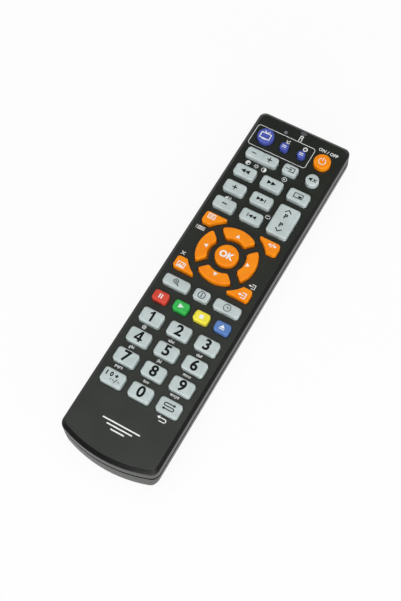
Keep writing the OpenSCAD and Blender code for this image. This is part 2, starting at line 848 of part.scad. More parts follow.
// Chip under the board with two rows of bent legs
module controller_chip() {
    body_top = board_under - chip_lift;
    shoulder = body_top - chip_t / 2;
    color("#1d1d1f") translate([0, pad_y, 0]) {
        block([-chip_w / 2, chip_y - chip_l / 2, body_top - chip_t],
            [chip_w / 2, chip_y + chip_l / 2, body_top]);
        for (side = [0, 1], i = [0:chip_leg_count - 1])
            mirror([side, 0, 0])
                translate([chip_w / 2, chip_y + (i - (chip_leg_count - 1) / 2) * chip_leg_pitch, 0])
                    rotate([90, 0, 0]) linear_extrude(leg_w, center = true) polygon([
                        [-leg_t, shoulder], [leg_reach / 2, shoulder], [leg_reach / 2, board_under - leg_t],
                        [leg_reach, board_under - leg_t], [leg_reach, board_under],
                        [leg_reach / 2 - leg_t, board_under], [leg_reach / 2 - leg_t, shoulder + leg_t],
                        [-leg_t, shoulder + leg_t]
                    ]);
    }
}

// Moulded part that hangs from the board's underside
module board_part(part, shift = 0) {
    x = part[0] + shift;
    block([x - part[2] / 2, part[1] - part[3] / 2, board_under - part[4]],
        [x + part[2] / 2, part[1] + part[3] / 2, board_under]);
}

// Memory chip, resonator, transistor, capacitor and a row of resistors under the board
module board_components() {
    color("#6d6a62") translate([0, pad_y, 0]) {
        for (part = [memory_chip, resonator, transistor])
            board_part(part);
        for (i = [0:resistor_count - 1])
            board_part(resistor, i * resistor_pitch);
        translate([capacitor_spot[0], capacitor_spot[1], board_under - capacitor_l])
            cylinder(capacitor_l, d = capacitor_d);
    }
}

// Screws through the board into the bosses of the face plate
module board_screws() {
    color("#9a9da0") for (p = screw_spots)
        translate([p[0], p[1], board_under]) difference() {
            union() {
                cylinder(screw_depth, d = screw_d);
                translate([0, 0, -screw_head_t]) cylinder(screw_head_t, d = screw_head_d);
            }
            for (a = [0, 90])
                rotate(a) translate([0, 0, -screw_head_t])
                    cube([screw_head_d * recess_share, recess_w, screw_head_t], center = true);
        }
}

upper_case();
lower_case();
battery_door();
keypad_mat();
circuit_board();
infrared_emitter();
infrared_receiver();
infrared_window();
indicator_lamp();
battery_left();
battery_right();
negative_spring();
positive_plate();
bridge_contact();
controller_chip();
board_components();
board_screws();
for (k = KEYS)
    key(k);
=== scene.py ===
"""Looks of a universal remote control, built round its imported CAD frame.

Sizes are in millimetres of the part frame until a mesh is finished, and every finished object is in metres.
"""

import json
import logging
import math
from collections.abc import Callable, Iterable, Iterator, Sequence
from dataclasses import dataclass, field
from enum import Enum

import bmesh
import bpy
from bmesh.types import BMEdge, BMFace, BMVert
from mathutils import Matrix, Vector

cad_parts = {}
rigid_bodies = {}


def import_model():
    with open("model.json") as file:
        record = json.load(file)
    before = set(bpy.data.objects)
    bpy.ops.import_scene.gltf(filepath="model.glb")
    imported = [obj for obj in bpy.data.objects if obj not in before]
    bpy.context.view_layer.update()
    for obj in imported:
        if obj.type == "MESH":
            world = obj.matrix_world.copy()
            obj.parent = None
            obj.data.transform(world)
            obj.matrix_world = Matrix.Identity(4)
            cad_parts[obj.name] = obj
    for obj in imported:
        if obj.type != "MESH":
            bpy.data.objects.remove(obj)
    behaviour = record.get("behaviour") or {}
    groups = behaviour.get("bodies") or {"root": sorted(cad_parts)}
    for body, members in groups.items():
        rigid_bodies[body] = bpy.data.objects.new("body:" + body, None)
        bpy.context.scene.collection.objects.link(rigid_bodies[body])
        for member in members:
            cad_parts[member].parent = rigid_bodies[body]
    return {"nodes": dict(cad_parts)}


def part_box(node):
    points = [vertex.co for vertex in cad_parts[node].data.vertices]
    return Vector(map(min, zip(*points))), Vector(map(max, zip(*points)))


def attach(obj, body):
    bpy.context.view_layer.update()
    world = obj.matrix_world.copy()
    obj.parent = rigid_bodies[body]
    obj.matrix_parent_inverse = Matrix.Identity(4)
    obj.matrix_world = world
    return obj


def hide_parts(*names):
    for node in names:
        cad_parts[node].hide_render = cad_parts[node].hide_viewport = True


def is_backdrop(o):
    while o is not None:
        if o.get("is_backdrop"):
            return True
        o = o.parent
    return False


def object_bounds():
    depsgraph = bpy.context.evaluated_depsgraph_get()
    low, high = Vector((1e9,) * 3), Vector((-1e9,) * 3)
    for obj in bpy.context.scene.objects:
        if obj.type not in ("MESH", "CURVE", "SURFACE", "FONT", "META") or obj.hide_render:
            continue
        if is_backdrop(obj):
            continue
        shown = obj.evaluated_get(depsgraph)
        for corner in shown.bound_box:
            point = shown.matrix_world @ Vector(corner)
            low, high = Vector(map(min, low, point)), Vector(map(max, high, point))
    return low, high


LOG = logging.getLogger("remote_control")
MM = 0.001
CRISP = 38.0
SRGB_SHIFT = 0.055
SRGB_POWER = 2.4
CASE_BODY = "case"
DOOR_BODY = "battery_door"

Colour = tuple[float, float, float]
Point = tuple[float, float]
Socket = bpy.types.NodeSocket
Stroke = tuple[Callable[..., None], tuple[object, ...]]

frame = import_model()
CAD_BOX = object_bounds()


def srgb(red: int, green: int, blue: int) -> Colour:
    """Turns a colour as a screen shows it, in parts from 11 to 255, into a linear one."""
    parts = [((part / 255 + SRGB_SHIFT) / (1.0 + SRGB_SHIFT)) ** SRGB_POWER for part in (red, green, blue)]
    return parts[0], parts[1], parts[2]


def node_box(node: str) -> tuple[Vector, Vector]:
    """Gives the lowest and highest corners of a CAD node in millimetres."""
    low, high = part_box(node)
    return low / MM, high / MM


def place(name: str, data: bpy.types.ID) -> bpy.types.Object:
    """Adds an object to the scene.

    Args:
        name: Name of the object.
        data: Its mesh, lamp or camera.

    Returns:
        The object.
    """
    made = bpy.data.objects.new(name, data)
    bpy.context.scene.collection.objects.link(made)
    return made


class Shader:
    """Node tree of one material, patterned on Object coordinates in metres."""

    NOISE_LOW = 0.3
    NOISE_HIGH = 0.7

    def __init__(self, name: str) -> None:
        """Makes an empty material.

        Args:
            name: Name of the material.
        """
        self.material = bpy.data.materials.new(name)
        self.material.use_nodes = True
        self.tree = self.material.node_tree
        self.surface = self.tree.nodes["Principled BSDF"]
        self.place = self.tree.nodes.new("ShaderNodeTexCoord").outputs["Object"]

    def add(self, kind: str, inputs: dict[str, object], **settings: object) -> bpy.types.Node:
        """Adds a node and joins or sets its inputs.

        Args:
            kind: Blender's name for the node type.
            inputs: A socket to join or a value to set for each input's name.
            **settings: Properties of the node itself.

        Returns:
            The new node.
        """
        made = self.tree.nodes.new(kind)
        for key, value in settings.items():
            setattr(made, key, value)
        for key, value in inputs.items():
            self.feed(made.inputs[key], value)
        return made

    def feed(self, socket: Socket, value: object) -> None:
        """Joins a socket to another one, or sets its own value.

        Args:
            socket: The socket.
            value: A socket to join it to, or a value.
        """
        if isinstance(value, Socket):
            self.tree.links.new(value, socket)
        else:
            socket.default_value = value

    def noise(self, scale: float, detail: float = 2.0, stretch: Sequence[float] = (1, 1, 1)) -> Socket:
        """Adds a noise pattern.

        Args:
            scale: Patches per metre.
            detail: Octaves of finer noise.
            stretch: How much denser the pattern is along each axis.

        Returns:
            The noise value, about NOISE_LOW to NOISE_HIGH.
        """
        spot = self.add("ShaderNodeMapping", {"Vector": self.place, "Scale": stretch}).outputs[0]
        values = {"Vector": spot, "Scale": scale, "Detail": detail}
        return self.add("ShaderNodeTexNoise", values).outputs[0]

    def blend(self, factor: Socket, low: Colour, high: Colour, start: float = 0.35,
              stop: float = 0.65) -> Socket:
        """Runs from one colour to another along a value.

        Args:
            factor: The value.
            low: Colour up to start.
            high: Colour from stop on.
            start: Value at which the run begins.
            stop: Value at which it ends.

        Returns:
            The colour.
        """
        ramp = self.add("ShaderNodeValToRGB", {"Fac": factor})
        first, last = ramp.color_ramp.elements
        first.position, first.color = start, (*low, 1.0)
        last.position, last.color = stop, (*high, 1.0)
        return ramp.outputs["Color"]

    def spread(self, factor: Socket, low: float, high: float) -> Socket:
        """Maps a noise value onto a range of numbers."""
        values = {"Value": factor, "From Min": self.NOISE_LOW, "From Max": self.NOISE_HIGH,
                  "To Min": low, "To Max": high}
        return self.add("ShaderNodeMapRange", values).outputs[0]

    def relief(self, height: Socket, depth: float) -> Socket:
        """Turns a height into a bumped normal, with its depth in millimetres."""
        values = {"Height": height, "Distance": depth * MM, "Strength": 1.0}
        return self.add("ShaderNodeBump", values).outputs[0]


@dataclass(frozen=True)
class Finish:
    """Moulded surface with a clouded colour and a fine grain.

    Attributes:
        name: Name of the material.
        shade: Darker colour of the clouds.
        tint: Lighter colour of the clouds.
        cloud: Clouds per metre.
        grain: Grains per metre.
        depth: Height of the grain in millimetres.
        rough: Least and greatest roughness.
        metallic: Share of metal.
        specular: Level of the plain reflection.
        coat: Weight of a clear coat.
        clear: Share of light let through.
    """

    name: str
    shade: Colour
    tint: Colour
    cloud: float = 160.0
    grain: float = 4200.0
    depth: float = 0.012
    rough: tuple[float, float] = (0.42, 0.54)
    metallic: float = 0.0
    specular: float = 0.5
    coat: float = 0.0
    clear: float = 0.0

    def colour(self, shader: Shader) -> Socket:
        """Paints the surface's colour and returns its socket."""
        return shader.blend(shader.noise(self.cloud, detail=4.0), self.shade, self.tint)

    def grain_height(self, shader: Shader) -> Socket:
        """Makes the grain's height and returns its socket."""
        return shader.noise(self.grain, detail=3.0)

    def material(self) -> bpy.types.Material:
        """Makes the material, once.

        Returns:
            The material.
        """
        known = bpy.data.materials.get(self.name + "_finish")
        if known:
            return known
        shader = Shader(self.name + "_finish")
        sockets = shader.surface.inputs
        grain = self.grain_height(shader)
        shader.feed(sockets["Base Color"], self.colour(shader))
        shader.feed(sockets["Roughness"], shader.spread(grain, *self.rough))
        shader.feed(sockets["Normal"], shader.relief(grain, self.depth))
        sockets["Metallic"].default_value = self.metallic
        sockets["Specular IOR Level"].default_value = self.specular
        sockets["Coat Weight"].default_value = self.coat
        sockets["Transmission Weight"].default_value = self.clear
        return shader.material


@dataclass(frozen=True)
class BrushedMetal(Finish):
    """Rolled sheet or drawn wire with streaks along one axis."""

    stretch: tuple[float, float, float] = (1.0, 14.0, 14.0)

    def grain_height(self, shader: Shader) -> Socket:
        """Makes the streaks' height and returns its socket."""
        return shader.noise(self.grain, detail=2.0, stretch=self.stretch)


@dataclass(frozen=True)
class EtchedBoard(Finish):
    """Lacquered board whose copper lines show through the lacquer.

    Attributes:
        line_scale: Lines per metre, about.
        line_wander: How far the lines stray.
        line_start: Value of the wave at which a line begins to show.
        line_stop: Value at which it shows in full.
    """

    line_scale: float = 62.0
    line_wander: float = 5.0
    line_start: float = 0.62
    line_stop: float = 0.7

    def colour(self, shader: Shader) -> Socket:
        """Paints lacquer over copper lines.

        Args:
            shader: Node tree to add to.

        Returns:
            The colour's socket.
        """
        values = {"Vector": shader.place, "Scale": self.line_scale, "Distortion": self.line_wander,
                  "Detail": 1.0}
        lines = shader.add("ShaderNodeTexWave", values, bands_direction="X").outputs["Fac"]
        return shader.blend(lines, self.shade, self.tint, self.line_start, self.line_stop)


def matt_ink(name: str, low: Colour, high: Colour, specular: float = 0.5) -> Finish:
    """Makes a matt printing ink from its darker and lighter tones and returns its finish."""
    return Finish(name, low, high, 500, 8000, 0.003, (0.5, 0.6), specular=specular)


def silicone(name: str, low: Colour, high: Colour) -> Finish:
    """Makes a matt silicone rubber from its darker and lighter tones and returns its finish."""
    return Finish(name, low, high, 240, 6000, 0.006, (0.46, 0.58), specular=0.2)


class Rubber(Enum):
    """Silicone rubber of the keys."""

    GREY = silicone("rubber_grey", srgb(187, 199, 198), srgb(199, 211, 210))
    ORANGE = silicone("rubber_orange", srgb(250, 138, 11), srgb(255, 150, 13))
    VIOLET = silicone("rubber_violet", srgb(72, 85, 172), srgb(86, 99, 186))
    RED = silicone("rubber_red", srgb(212, 68, 52), srgb(222, 82, 64))
    GREEN = silicone("rubber_green", srgb(48, 176, 74), srgb(60, 188, 88))
    YELLOW = silicone("rubber_yellow", srgb(241, 228, 62), srgb(248, 236, 80))
    BLUE = silicone("rubber_blue", srgb(84, 122, 184), srgb(98, 136, 198))


class Ink(Enum):
    """Printing ink of the legends."""

    DARK = matt_ink("ink_dark", srgb(13, 14, 16), srgb(21, 22, 24), specular=0.1)
    WHITE = matt_ink("ink_white", srgb(236, 238, 238), srgb(246, 247, 247))
    FAINT = matt_ink("ink_faint", srgb(96, 98, 104), srgb(112, 114, 120))


CASE_FACE = Finish("case_black", srgb(24, 29, 22), srgb(31, 36, 28), 70, 3600, 0.02, (0.32, 0.42),
                   specular=0.36)
# Painted shade: a darker, duller copy of the case plastic on the lower shell's faces in the parting groove,
# where shade falls.
SEAM_PAINTED_SHADE = Finish("case_seam", srgb(12, 12, 12), srgb(18, 18, 18), 300, 5000, 0.01, (0.75, 0.85), specular=0.05)
# Chamfer band of the upper shell: a glossier polish, and a darker copy of the case colour that paints the
# shade the slope takes.
RIM_GLOSS_AND_SHADE = Finish("case_rim", srgb(16, 17, 16), srgb(20, 21, 20), 70, 3600, 0.01, (0.22, 0.3), specular=0.32)
CARBON = Finish("carbon_pill", srgb(18, 18, 19), srgb(28, 28, 30), 400, 7000, 0.01, (0.55, 0.7))
MAT_RUBBER = Finish("mat_rubber", srgb(176, 184, 184), srgb(190, 197, 197), 200, 5000, 0.01, (0.5, 0.62))
BOARD = EtchedBoard("board_green", srgb(22, 74, 40), srgb(58, 112, 60), rough=(0.3, 0.42), coat=0.3)
EMITTER = Finish("emitter_clear", srgb(150, 134, 168), srgb(170, 156, 186), rough=(0.08, 0.14), clear=0.7)
CHIP = Finish("chip_black", srgb(24, 24, 26), srgb(34, 34, 36), 300, 5000, 0.008, (0.5, 0.64))
WINDOW = Finish("window_dark", srgb(34, 12, 14), srgb(46, 16, 18), 90, 900, 0.002, (0.08, 0.14), coat=0.4)
LAMP = Finish("lamp_clear", srgb(120, 122, 128), srgb(140, 142, 148), 300, 2000, 0.003, (0.16, 0.24))
STEEL = BrushedMetal("contact_steel", srgb(176, 178, 182), srgb(206, 208, 210), 300, 900, 0.004,
                     (0.24, 0.36), metallic=1.0)
SCREW = BrushedMetal("screw_steel", srgb(150, 152, 156), srgb(184, 186, 190), 300, 1200, 0.004,
                     (0.28, 0.4), metallic=1.0)
PARTS = Finish("component_mix", srgb(86, 82, 74), srgb(124, 118, 106), 180, 3000, 0.01, (0.45, 0.6))
JACKET = Finish("cell_jacket", srgb(36, 66, 46), srgb(48, 84, 58), 120, 2600, 0.003, (0.22, 0.32), coat=0.3)
CELL_BAND = Finish("cell_band", srgb(176, 140, 66), srgb(198, 162, 84), 140, 2600, 0.003, (0.24, 0.34),
                   metallic=0.6)
CELL_END = BrushedMetal("cell_end", srgb(168, 170, 174), srgb(198, 200, 202), 300, 900, 0.004,
                        (0.26, 0.38), metallic=1.0)


class Workpiece:
    """A mesh in the making, in millimetres of the part frame.

    Attributes:
        COPY_MERGE: Distance within which points of a copied node are one.
        CORNER_MERGE: The same for the points of rounded corners.
        END_MERGE: The same for a finished mesh.
        CUT_MERGE: The same along a cut.
        FLAT_TURN: Turn in degrees up to which faces are one.
        STRAIGHT_TURN: Angle in degrees from which an outline counts as straight.
        CORNER_REACH: How far from a corner points give way to its arc, in radii.
    """

    COPY_MERGE = 0.04
    CORNER_MERGE = 0.01
    END_MERGE = 0.0005
    CUT_MERGE = 0.0001
    FLAT_TURN = 0.5
    STRAIGHT_TURN = 160.0
    CORNER_REACH = 1.5

    def __init__(self) -> None:
        """Starts with an empty mesh."""
        self.bm = bmesh.new()

    @classmethod
    def copy_of(cls, node: str) -> "Workpiece":
        """Starts from a merged copy of a CAD node.

        Args:
            node: Name of the node.

        Returns:
            The workpiece, with flat stretches joined into single faces.
        """
        work = cls()
        work.bm.from_mesh(frame["nodes"][node].data)
        bmesh.ops.scale(work.bm, vec=(1 / MM,) * 3, verts=work.bm.verts)
        bmesh.ops.remove_doubles(work.bm, verts=work.bm.verts, dist=cls.COPY_MERGE)
        flat = math.radians(cls.FLAT_TURN)
        bmesh.ops.dissolve_limit(work.bm, angle_limit=flat, verts=work.bm.verts, edges=work.bm.edges)
        return work

    def take_in(self, other: "Workpiece") -> None:
        """Adds another workpiece's parts and ends that one.

        Args:
            other: The other workpiece.
        """
        store = bpy.data.meshes.new("joined")
        other.bm.to_mesh(store)
        other.bm.free()
        self.bm.from_mesh(store)
        bpy.data.meshes.remove(store)

    def fresh(self, known: set[BMVert]) -> list[BMVert]:
        """Gives the vertices that aren't among the known ones."""
        return [vert for vert in self.bm.verts if vert not in known]

    def round_corners(self, corners: Iterable[BMVert], radius: float, steps: int = 6) -> BMFace:
        """Rounds corners of a flat face.

        Args:
            corners: The corners' vertices.
            radius: Radius of the arcs.
            steps: Segments of each arc.

        Returns:
            The face as it is now.
        """
        corners = list(corners)
        reach = self.CORNER_REACH * radius
        near = [vert for vert in corners[0].link_faces[0].verts if vert not in corners
                and any((vert.co - corner.co).length < reach and len(vert.link_edges) == 2
                        and self.bends_little(vert) for corner in corners)]
        bmesh.ops.dissolve_verts(self.bm, verts=near)
        bmesh.ops.bevel(self.bm, geom=corners, offset=radius, offset_type="OFFSET", segments=steps,
                        profile=0.5, affect="VERTICES", clamp_overlap=True, material=-1)
        bmesh.ops.remove_doubles(self.bm, verts=self.bm.verts, dist=self.CORNER_MERGE)
        return self.bm.faces[:][-1]

    def bends_little(self, vert: BMVert) -> bool:
        """Says whether a flat outline runs nearly straight through a vertex."""
        first, second = (edge.other_vert(vert).co - vert.co for edge in vert.link_edges)
        return first.angle(second) > math.radians(self.STRAIGHT_TURN)

    def cut(self, point: Sequence[float], normal: Sequence[float], clear: bool = False) -> None:
        """Cuts the faces along a plane, and clears what lies beyond it where asked.

        Args:
            point: A point of the plane.
            normal: Its normal.
            clear: Whether what lies on the normal's side goes.
        """
        geom = [*self.bm.verts, *self.bm.edges, *self.bm.faces]
        bmesh.ops.bisect_plane(self.bm, geom=geom, dist=self.CUT_MERGE, plane_co=point, plane_no=normal,
                               clear_outer=clear)

    def rectangle(self, width: float, length: float) -> list[BMVert]:
        """Lays a rectangle round the origin.

        Args:
            width: Size along X.
            length: Size along Y.

        Returns:
            Its corners.
        """
        made = bmesh.ops.create_grid(self.bm, x_segments=1, y_segments=1, size=0.5)["verts"]
        bmesh.ops.scale(self.bm, vec=(width, length, 1.0), verts=made)
        return made

    def disc(self, radius: float, sides: int = 56) -> BMFace:
        """Lays a disc round the origin and returns its face."""
        made = bmesh.ops.create_circle(self.bm, cap_ends=True, radius=radius, segments=sides)
        return made["verts"][0].link_faces[0]

    def sector(self, inner: float, outer: float, start: float, sweep: float, steps: int) -> list[BMVert]:
        """Lays a piece of a ring round the origin.

        Args:
            inner: Inner radius.
            outer: Outer radius.
            start: Angle of the first end in degrees.
            sweep: Angle that it covers in degrees.
            steps: Segments along it.

        Returns:
            Its vertices.
        """
        known = set(self.bm.verts)
        way = Vector((math.cos(math.radians(start)), math.sin(math.radians(start)), 0.0))
        ends = [self.bm.verts.new(way * radius) for radius in (inner, outer)]
        edge = self.bm.edges.new(ends)
        bmesh.ops.spin(self.bm, geom=[*ends, edge], axis=(0, 0, 1), cent=(0, 0, 0), steps=steps,
                       angle=math.radians(sweep), use_merge=sweep >= 360.0)
        return self.fresh(known)

    def raise_face(self, face: BMFace, height: float) -> BMFace:
        """Draws a face up into a block or a step.

        Args:
            face: The face.
            height: Distance along Z.

        Returns:
            The raised face.
        """
        alone = all(len(edge.link_faces) == 1 for edge in face.edges)
        geom = [face] if alone else [face, *face.edges, *face.verts]
        made = bmesh.ops.extrude_face_region(self.bm, geom=geom)["geom"]
        self.shift((part for part in made if isinstance(part, BMVert)), 0.0, 0.0, height)
        return next(part for part in made if isinstance(part, BMFace))

    def inset(self, face: BMFace, width: float, rise: float = 0.0) -> BMFace:
        """Draws a face in and lifts it.

        Args:
            face: The face.
            width: Distance by which its outline moves in.
            rise: Distance along Z.

        Returns:
            The smaller face.
        """
        bmesh.ops.inset_region(self.bm, faces=[face], thickness=width, use_even_offset=True,
                               use_boundary=True)
        self.shift(face.verts, 0.0, 0.0, rise)
        return face

    def round_edges(self, edges: Iterable[BMEdge], radius: float, steps: int = 3) -> None:
        """Rounds edges to a radius."""
        bmesh.ops.bevel(self.bm, geom=list(edges), offset=radius, offset_type="OFFSET", segments=steps,
                        profile=0.5, affect="EDGES", clamp_overlap=True, material=-1)

    def sharp_edges(self, angle: float, wanted: Callable[[Vector], bool]) -> list[BMEdge]:
        """Finds outer corners of a solid.

        Args:
            angle: Least turn between the two faces in degrees.
            wanted: Says from an edge's middle whether it counts.

        Returns:
            The edges.
        """
        least = math.radians(angle)
        return [edge for edge in self.bm.edges if len(edge.link_faces) == 2
                and edge.calc_face_angle_signed(0.0) > least
                and wanted((edge.verts[0].co + edge.verts[1].co) / 2)]

    def shift(self, verts: Iterable[BMVert], x: float, y: float, z: float = 0.0) -> None:
        """Moves vertices."""
        bmesh.ops.translate(self.bm, vec=(x, y, z), verts=list(verts))

    def turn(self, verts: Iterable[BMVert], angle: float, axis: str = "Z") -> None:
        """Turns vertices about the origin by an angle in degrees."""
        spin = Matrix.Rotation(math.radians(angle), 3, axis)
        bmesh.ops.rotate(self.bm, cent=(0, 0, 0), matrix=spin, verts=list(verts))

    def post(self, radius: float, height: float, sides: int = 28) -> list[BMVert]:
        """Stands a round post on the origin.

        Args:
            radius: Its radius.
            height: Its height.
            sides: Its sides.

        Returns:
            Its vertices.
        """
        made = bmesh.ops.create_cone(self.bm, cap_ends=True, segments=sides, radius1=radius, radius2=radius,
                                     depth=height)["verts"]
        self.shift(made, 0.0, 0.0, height / 2)
        return made

    def top_face(self) -> BMFace:
        """Finds the highest flat face."""
        return max(self.bm.faces,
                   key=lambda face: (round(face.calc_center_median().z, 3), face.calc_area()))

    def finish(self, name: str, body: str, finishes: Sequence[Finish], sharp: float = CRISP,
               outward: bool = True) -> bpy.types.Object:
        """Ends the work as an object that moves with a body.

        Args:
            name: Name of the piece.
            body: CAD body that it rides on.
            finishes: Finishes in the order of the faces' material numbers.
            sharp: Turn in degrees from which an edge stays crisp.
            outward: Whether to merge the parts and turn the faces outwards.

        Returns:
            The object.
        """
        if outward:
            bmesh.ops.remove_doubles(self.bm, verts=self.bm.verts, dist=self.END_MERGE)
            bmesh.ops.recalc_face_normals(self.bm, faces=self.bm.faces)
        bmesh.ops.scale(self.bm, vec=(MM,) * 3, verts=self.bm.verts)
        mesh = bpy.data.meshes.new(name)
        self.bm.to_mesh(mesh)
        self.bm.free()
        carried = mesh.attributes.get("custom_normal")
        if carried:
            mesh.attributes.remove(carried)
        mesh.shade_smooth()
        mesh.set_sharp_from_angle(angle=math.radians(sharp))
        for finish in finishes:
            mesh.materials.append(finish.material())
        piece = place(name, mesh)
        piece.modifiers.new("even_shading", "WEIGHTED_NORMAL").keep_sharp = True
        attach(piece, body)
        LOG.info("%s: %d faces on %s", name, len(mesh.polygons), body)
        return piece

    def stand_for(self, node: str, prefix: str, body: str, finishes: Sequence[Finish], sharp: float = CRISP,
                  outward: bool = True) -> None:
        """Ends the work as the piece that stands for a CAD node.

        Args:
            node: Name of the node.
            prefix: Start of the piece's name, before the node's.
            body: CAD body that it rides on.
            finishes: Its finishes.
            sharp: Turn in degrees from which an edge stays crisp.
            outward: Whether to merge the parts and turn the faces outwards.
        """
        piece = self.finish(prefix + node, body, finishes, sharp, outward)
        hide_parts(node)
        finishes[0].name


class KeyKind(Enum):
    """Plan shape of a key."""

    PAD = "pad"
    DISC = "disc"
    ROCKER = "rocker"
    CORNER = "corner"
    ARC = "arc"


@dataclass(frozen=True)
class KeyForm:
    """Sizes that all keys share, in millimetres.

    Attributes:
        arc_start: Angle at which a direction key's ring begins, in degrees.
        arc_sweep: Angle that it covers, in degrees.
        corner_turn: Turn of the outline from which a point is a corner, in radians.
        waist_reach: How near the middle line a point of the waist lies.
    """

    skirt: float = 0.55
    skirt_t: float = 0.8
    skirt_low: float = 15.05
    corner_r: float = 1.2
    tip_r: float = 1.0
    hook_r: float = 0.34
    ink_room: float = 0.04
    pill_r: float = 1.5
    pill_margin: float = 0.6
    corner_pill_x: float = 1.2
    corner_pill_y: float = 0.9
    ring_hole_r: float = 8.12
    ring_slot: float = 3.7
    arc_start: float = 40.0
    arc_sweep: float = 100.0
    arc_steps: int = 40
    corner_turn: float = 0.5
    hollow_r: float = 15.7
    hollow_steps: int = 14
    hook_steps: int = 4
    crown_steps: int = 4
    axle_r: float = 0.85
    axle_z: float = 14.95
    rocker_pill_in: float = 2.45
    waist_half: float = 0.8
    waist_depth: float = 0.35
    waist_reach: float = 0.01


FORM = KeyForm()


@dataclass(frozen=True)
class Crown:
    """Rounded and pillowed top of a key.

    Attributes:
        edge_r: Radius of its edge.
        pillow: Width and rise of each step towards its middle.
    """

    edge_r: float
    pillow: tuple[Point, ...]

    def rise(self) -> float:
        """Gives how far the middle stands over the edge."""
        return sum(rise for _, rise in self.pillow)


WIDE_CROWN = Crown(0.35, ((0.28, 0.05), (0.2, 0.02)))
ARC_CROWN = Crown(0.33, ((0.25, 0.04),))
HOOKED_CROWN = Crown(0.25, ())


@dataclass
class KeyCap:
    """One rubber key, from its skirt to its pillowed top.

    Attributes:
        node: CAD node that it stands for, which is also its body.
        kind: Its plan shape.
        tone: Its rubber.
        quarter: Quarter turns of a direction key from the top one.
    """

    node: str
    kind: KeyKind
    tone: Rubber
    quarter: int = 0

    def __post_init__(self) -> None:
        """Reads the key's place and size from the frame."""
        low, high = node_box(self.node)
        trim = [2 * FORM.skirt, 2 * FORM.skirt]
        if self.kind is KeyKind.ROCKER:
            trim[0 if high.x - low.x > high.y - low.y else 1] = 0.0
        self.width = high.x - low.x - trim[0]
        self.length = high.y - low.y - trim[1]
        self.spot = (low + high) / 2
        self.low = low.z
        self.top = high.z - FORM.ink_room
        self.finishes = (self.tone.value, CARBON)
        self.crown = {KeyKind.ARC: ARC_CROWN, KeyKind.CORNER: HOOKED_CROWN}.get(self.kind, WIDE_CROWN)
        pad_low, pad_high = node_box("key_ok")
        self.pad = (pad_low + pad_high) / 2

    def arc_outline(self, work: Workpiece, grow: float) -> BMFace:
        """Lays a direction key between the two diagonal slots.

        Args:
            work: The workpiece.
            grow: Margin round the key.

        Returns:
            Its face.
        """
        outer = node_box("key_up")[1].y - self.pad.y - FORM.skirt
        work.sector(FORM.ring_hole_r - grow, outer + grow, FORM.arc_start, FORM.arc_sweep, FORM.arc_steps)
        slot = FORM.ring_slot / 2 - grow
        for side in (-1, 1):
            away = Vector((side, -1.0, 0.0)).normalized()
            work.cut(away * -slot, away, clear=True)
        face = bmesh.ops.dissolve_faces(work.bm, faces=work.bm.faces)["region"][0]
        turns = {loop.vert: loop.calc_angle() for loop in face.loops
                 if abs(loop.calc_angle() - math.pi) > FORM.corner_turn}
        for blunt in (True, False):
            corners = {vert: angle for vert, angle in turns.items() if (angle > math.pi / 2) is blunt}
            reach = (FORM.tip_r + grow) / math.tan(min(corners.values()) / 2)
            face = work.round_corners(corners, reach)
        work.turn(work.bm.verts, 90.0 * self.quarter)
        work.shift(work.bm.verts, self.pad.x, self.pad.y)
        return face

    def corner_outline(self, work: Workpiece, grow: float) -> BMFace:
        """Lays a corner key, hollowed round the direction ring.

        Args:
            work: The workpiece.
            grow: Margin round the key.

        Returns:
            Its face.
        """
        centre = self.spot - self.pad
        hollow = FORM.hollow_r - grow
        near = (abs(centre.x) - self.width / 2 - grow, abs(centre.y) - self.length / 2 - grow)
        far = (abs(centre.x) + self.width / 2 + grow, abs(centre.y) + self.length / 2 + grow)
        first = math.asin(near[1] / hollow)
        last = math.acos(near[0] / hollow)
        start = work.bm.verts.new((hollow * math.cos(first), near[1], 0.0))
        bmesh.ops.spin(work.bm, geom=[start], axis=(0, 0, 1), cent=(0, 0, 0), steps=FORM.hollow_steps,
                       angle=last - first)
        tips = [vert for vert in work.bm.verts if len(vert.link_edges) == 1]
        end = next(vert for vert in tips if vert is not start)
        corners = [work.bm.verts.new((x, y, 0.0)) for x, y in ((near[0], far[1]), far, (far[0], near[1]))]
        for pair in zip((end, *corners), (*corners, start)):
            work.bm.edges.new(pair)
        bmesh.ops.contextual_create(work.bm, geom=work.bm.edges[:])
        work.round_corners(corners[1:], FORM.corner_r + grow)
        work.round_corners(corners[:1], FORM.hook_r + grow / 2, FORM.hook_steps)
        face = work.round_corners((start, end), FORM.hook_r + grow / 2, FORM.hook_steps)
        sides = (math.copysign(1.0, centre.x), math.copysign(1.0, centre.y), 1.0)
        bmesh.ops.scale(work.bm, vec=sides, verts=work.bm.verts)
        work.shift(work.bm.verts, self.pad.x, self.pad.y)
        return face

    def outline(self, work: Workpiece, grow: float) -> BMFace:
        """Lays the key's plan shape at height 0.

        Args:
            work: The workpiece.
            grow: Margin round the key.

        Returns:
            Its face.
        """
        if self.kind is KeyKind.ARC:
            return self.arc_outline(work, grow)
        if self.kind is KeyKind.CORNER:
            return self.corner_outline(work, grow)
        if self.kind is KeyKind.DISC:
            face = work.disc(self.width / 2 + grow)
        else:
            corners = work.rectangle(self.width + 2 * grow, self.length + 2 * grow)
            face = work.round_corners(corners, FORM.corner_r + grow)
        work.shift(work.bm.verts, self.spot.x, self.spot.y)
        return face

    def pills(self) -> list[Point]:
        """Lists where the carbon pills stand.

        Returns:
            The pills' places.
        """
        way = self.spot - self.pad
        if self.kind is KeyKind.ROCKER:
            reach = max(self.width, self.length) / 2 - FORM.rocker_pill_in
            along = Vector((reach, 0.0, 0.0)) if self.width > self.length else Vector((0.0, reach, 0.0))
            return [tuple((self.spot + side * along).xy) for side in (-1, 1)]
        if self.kind is KeyKind.CORNER:
            return [(self.spot.x + math.copysign(FORM.corner_pill_x, way.x),
                     self.spot.y + math.copysign(FORM.corner_pill_y, way.y))]
        return [(self.spot.x, self.spot.y)]

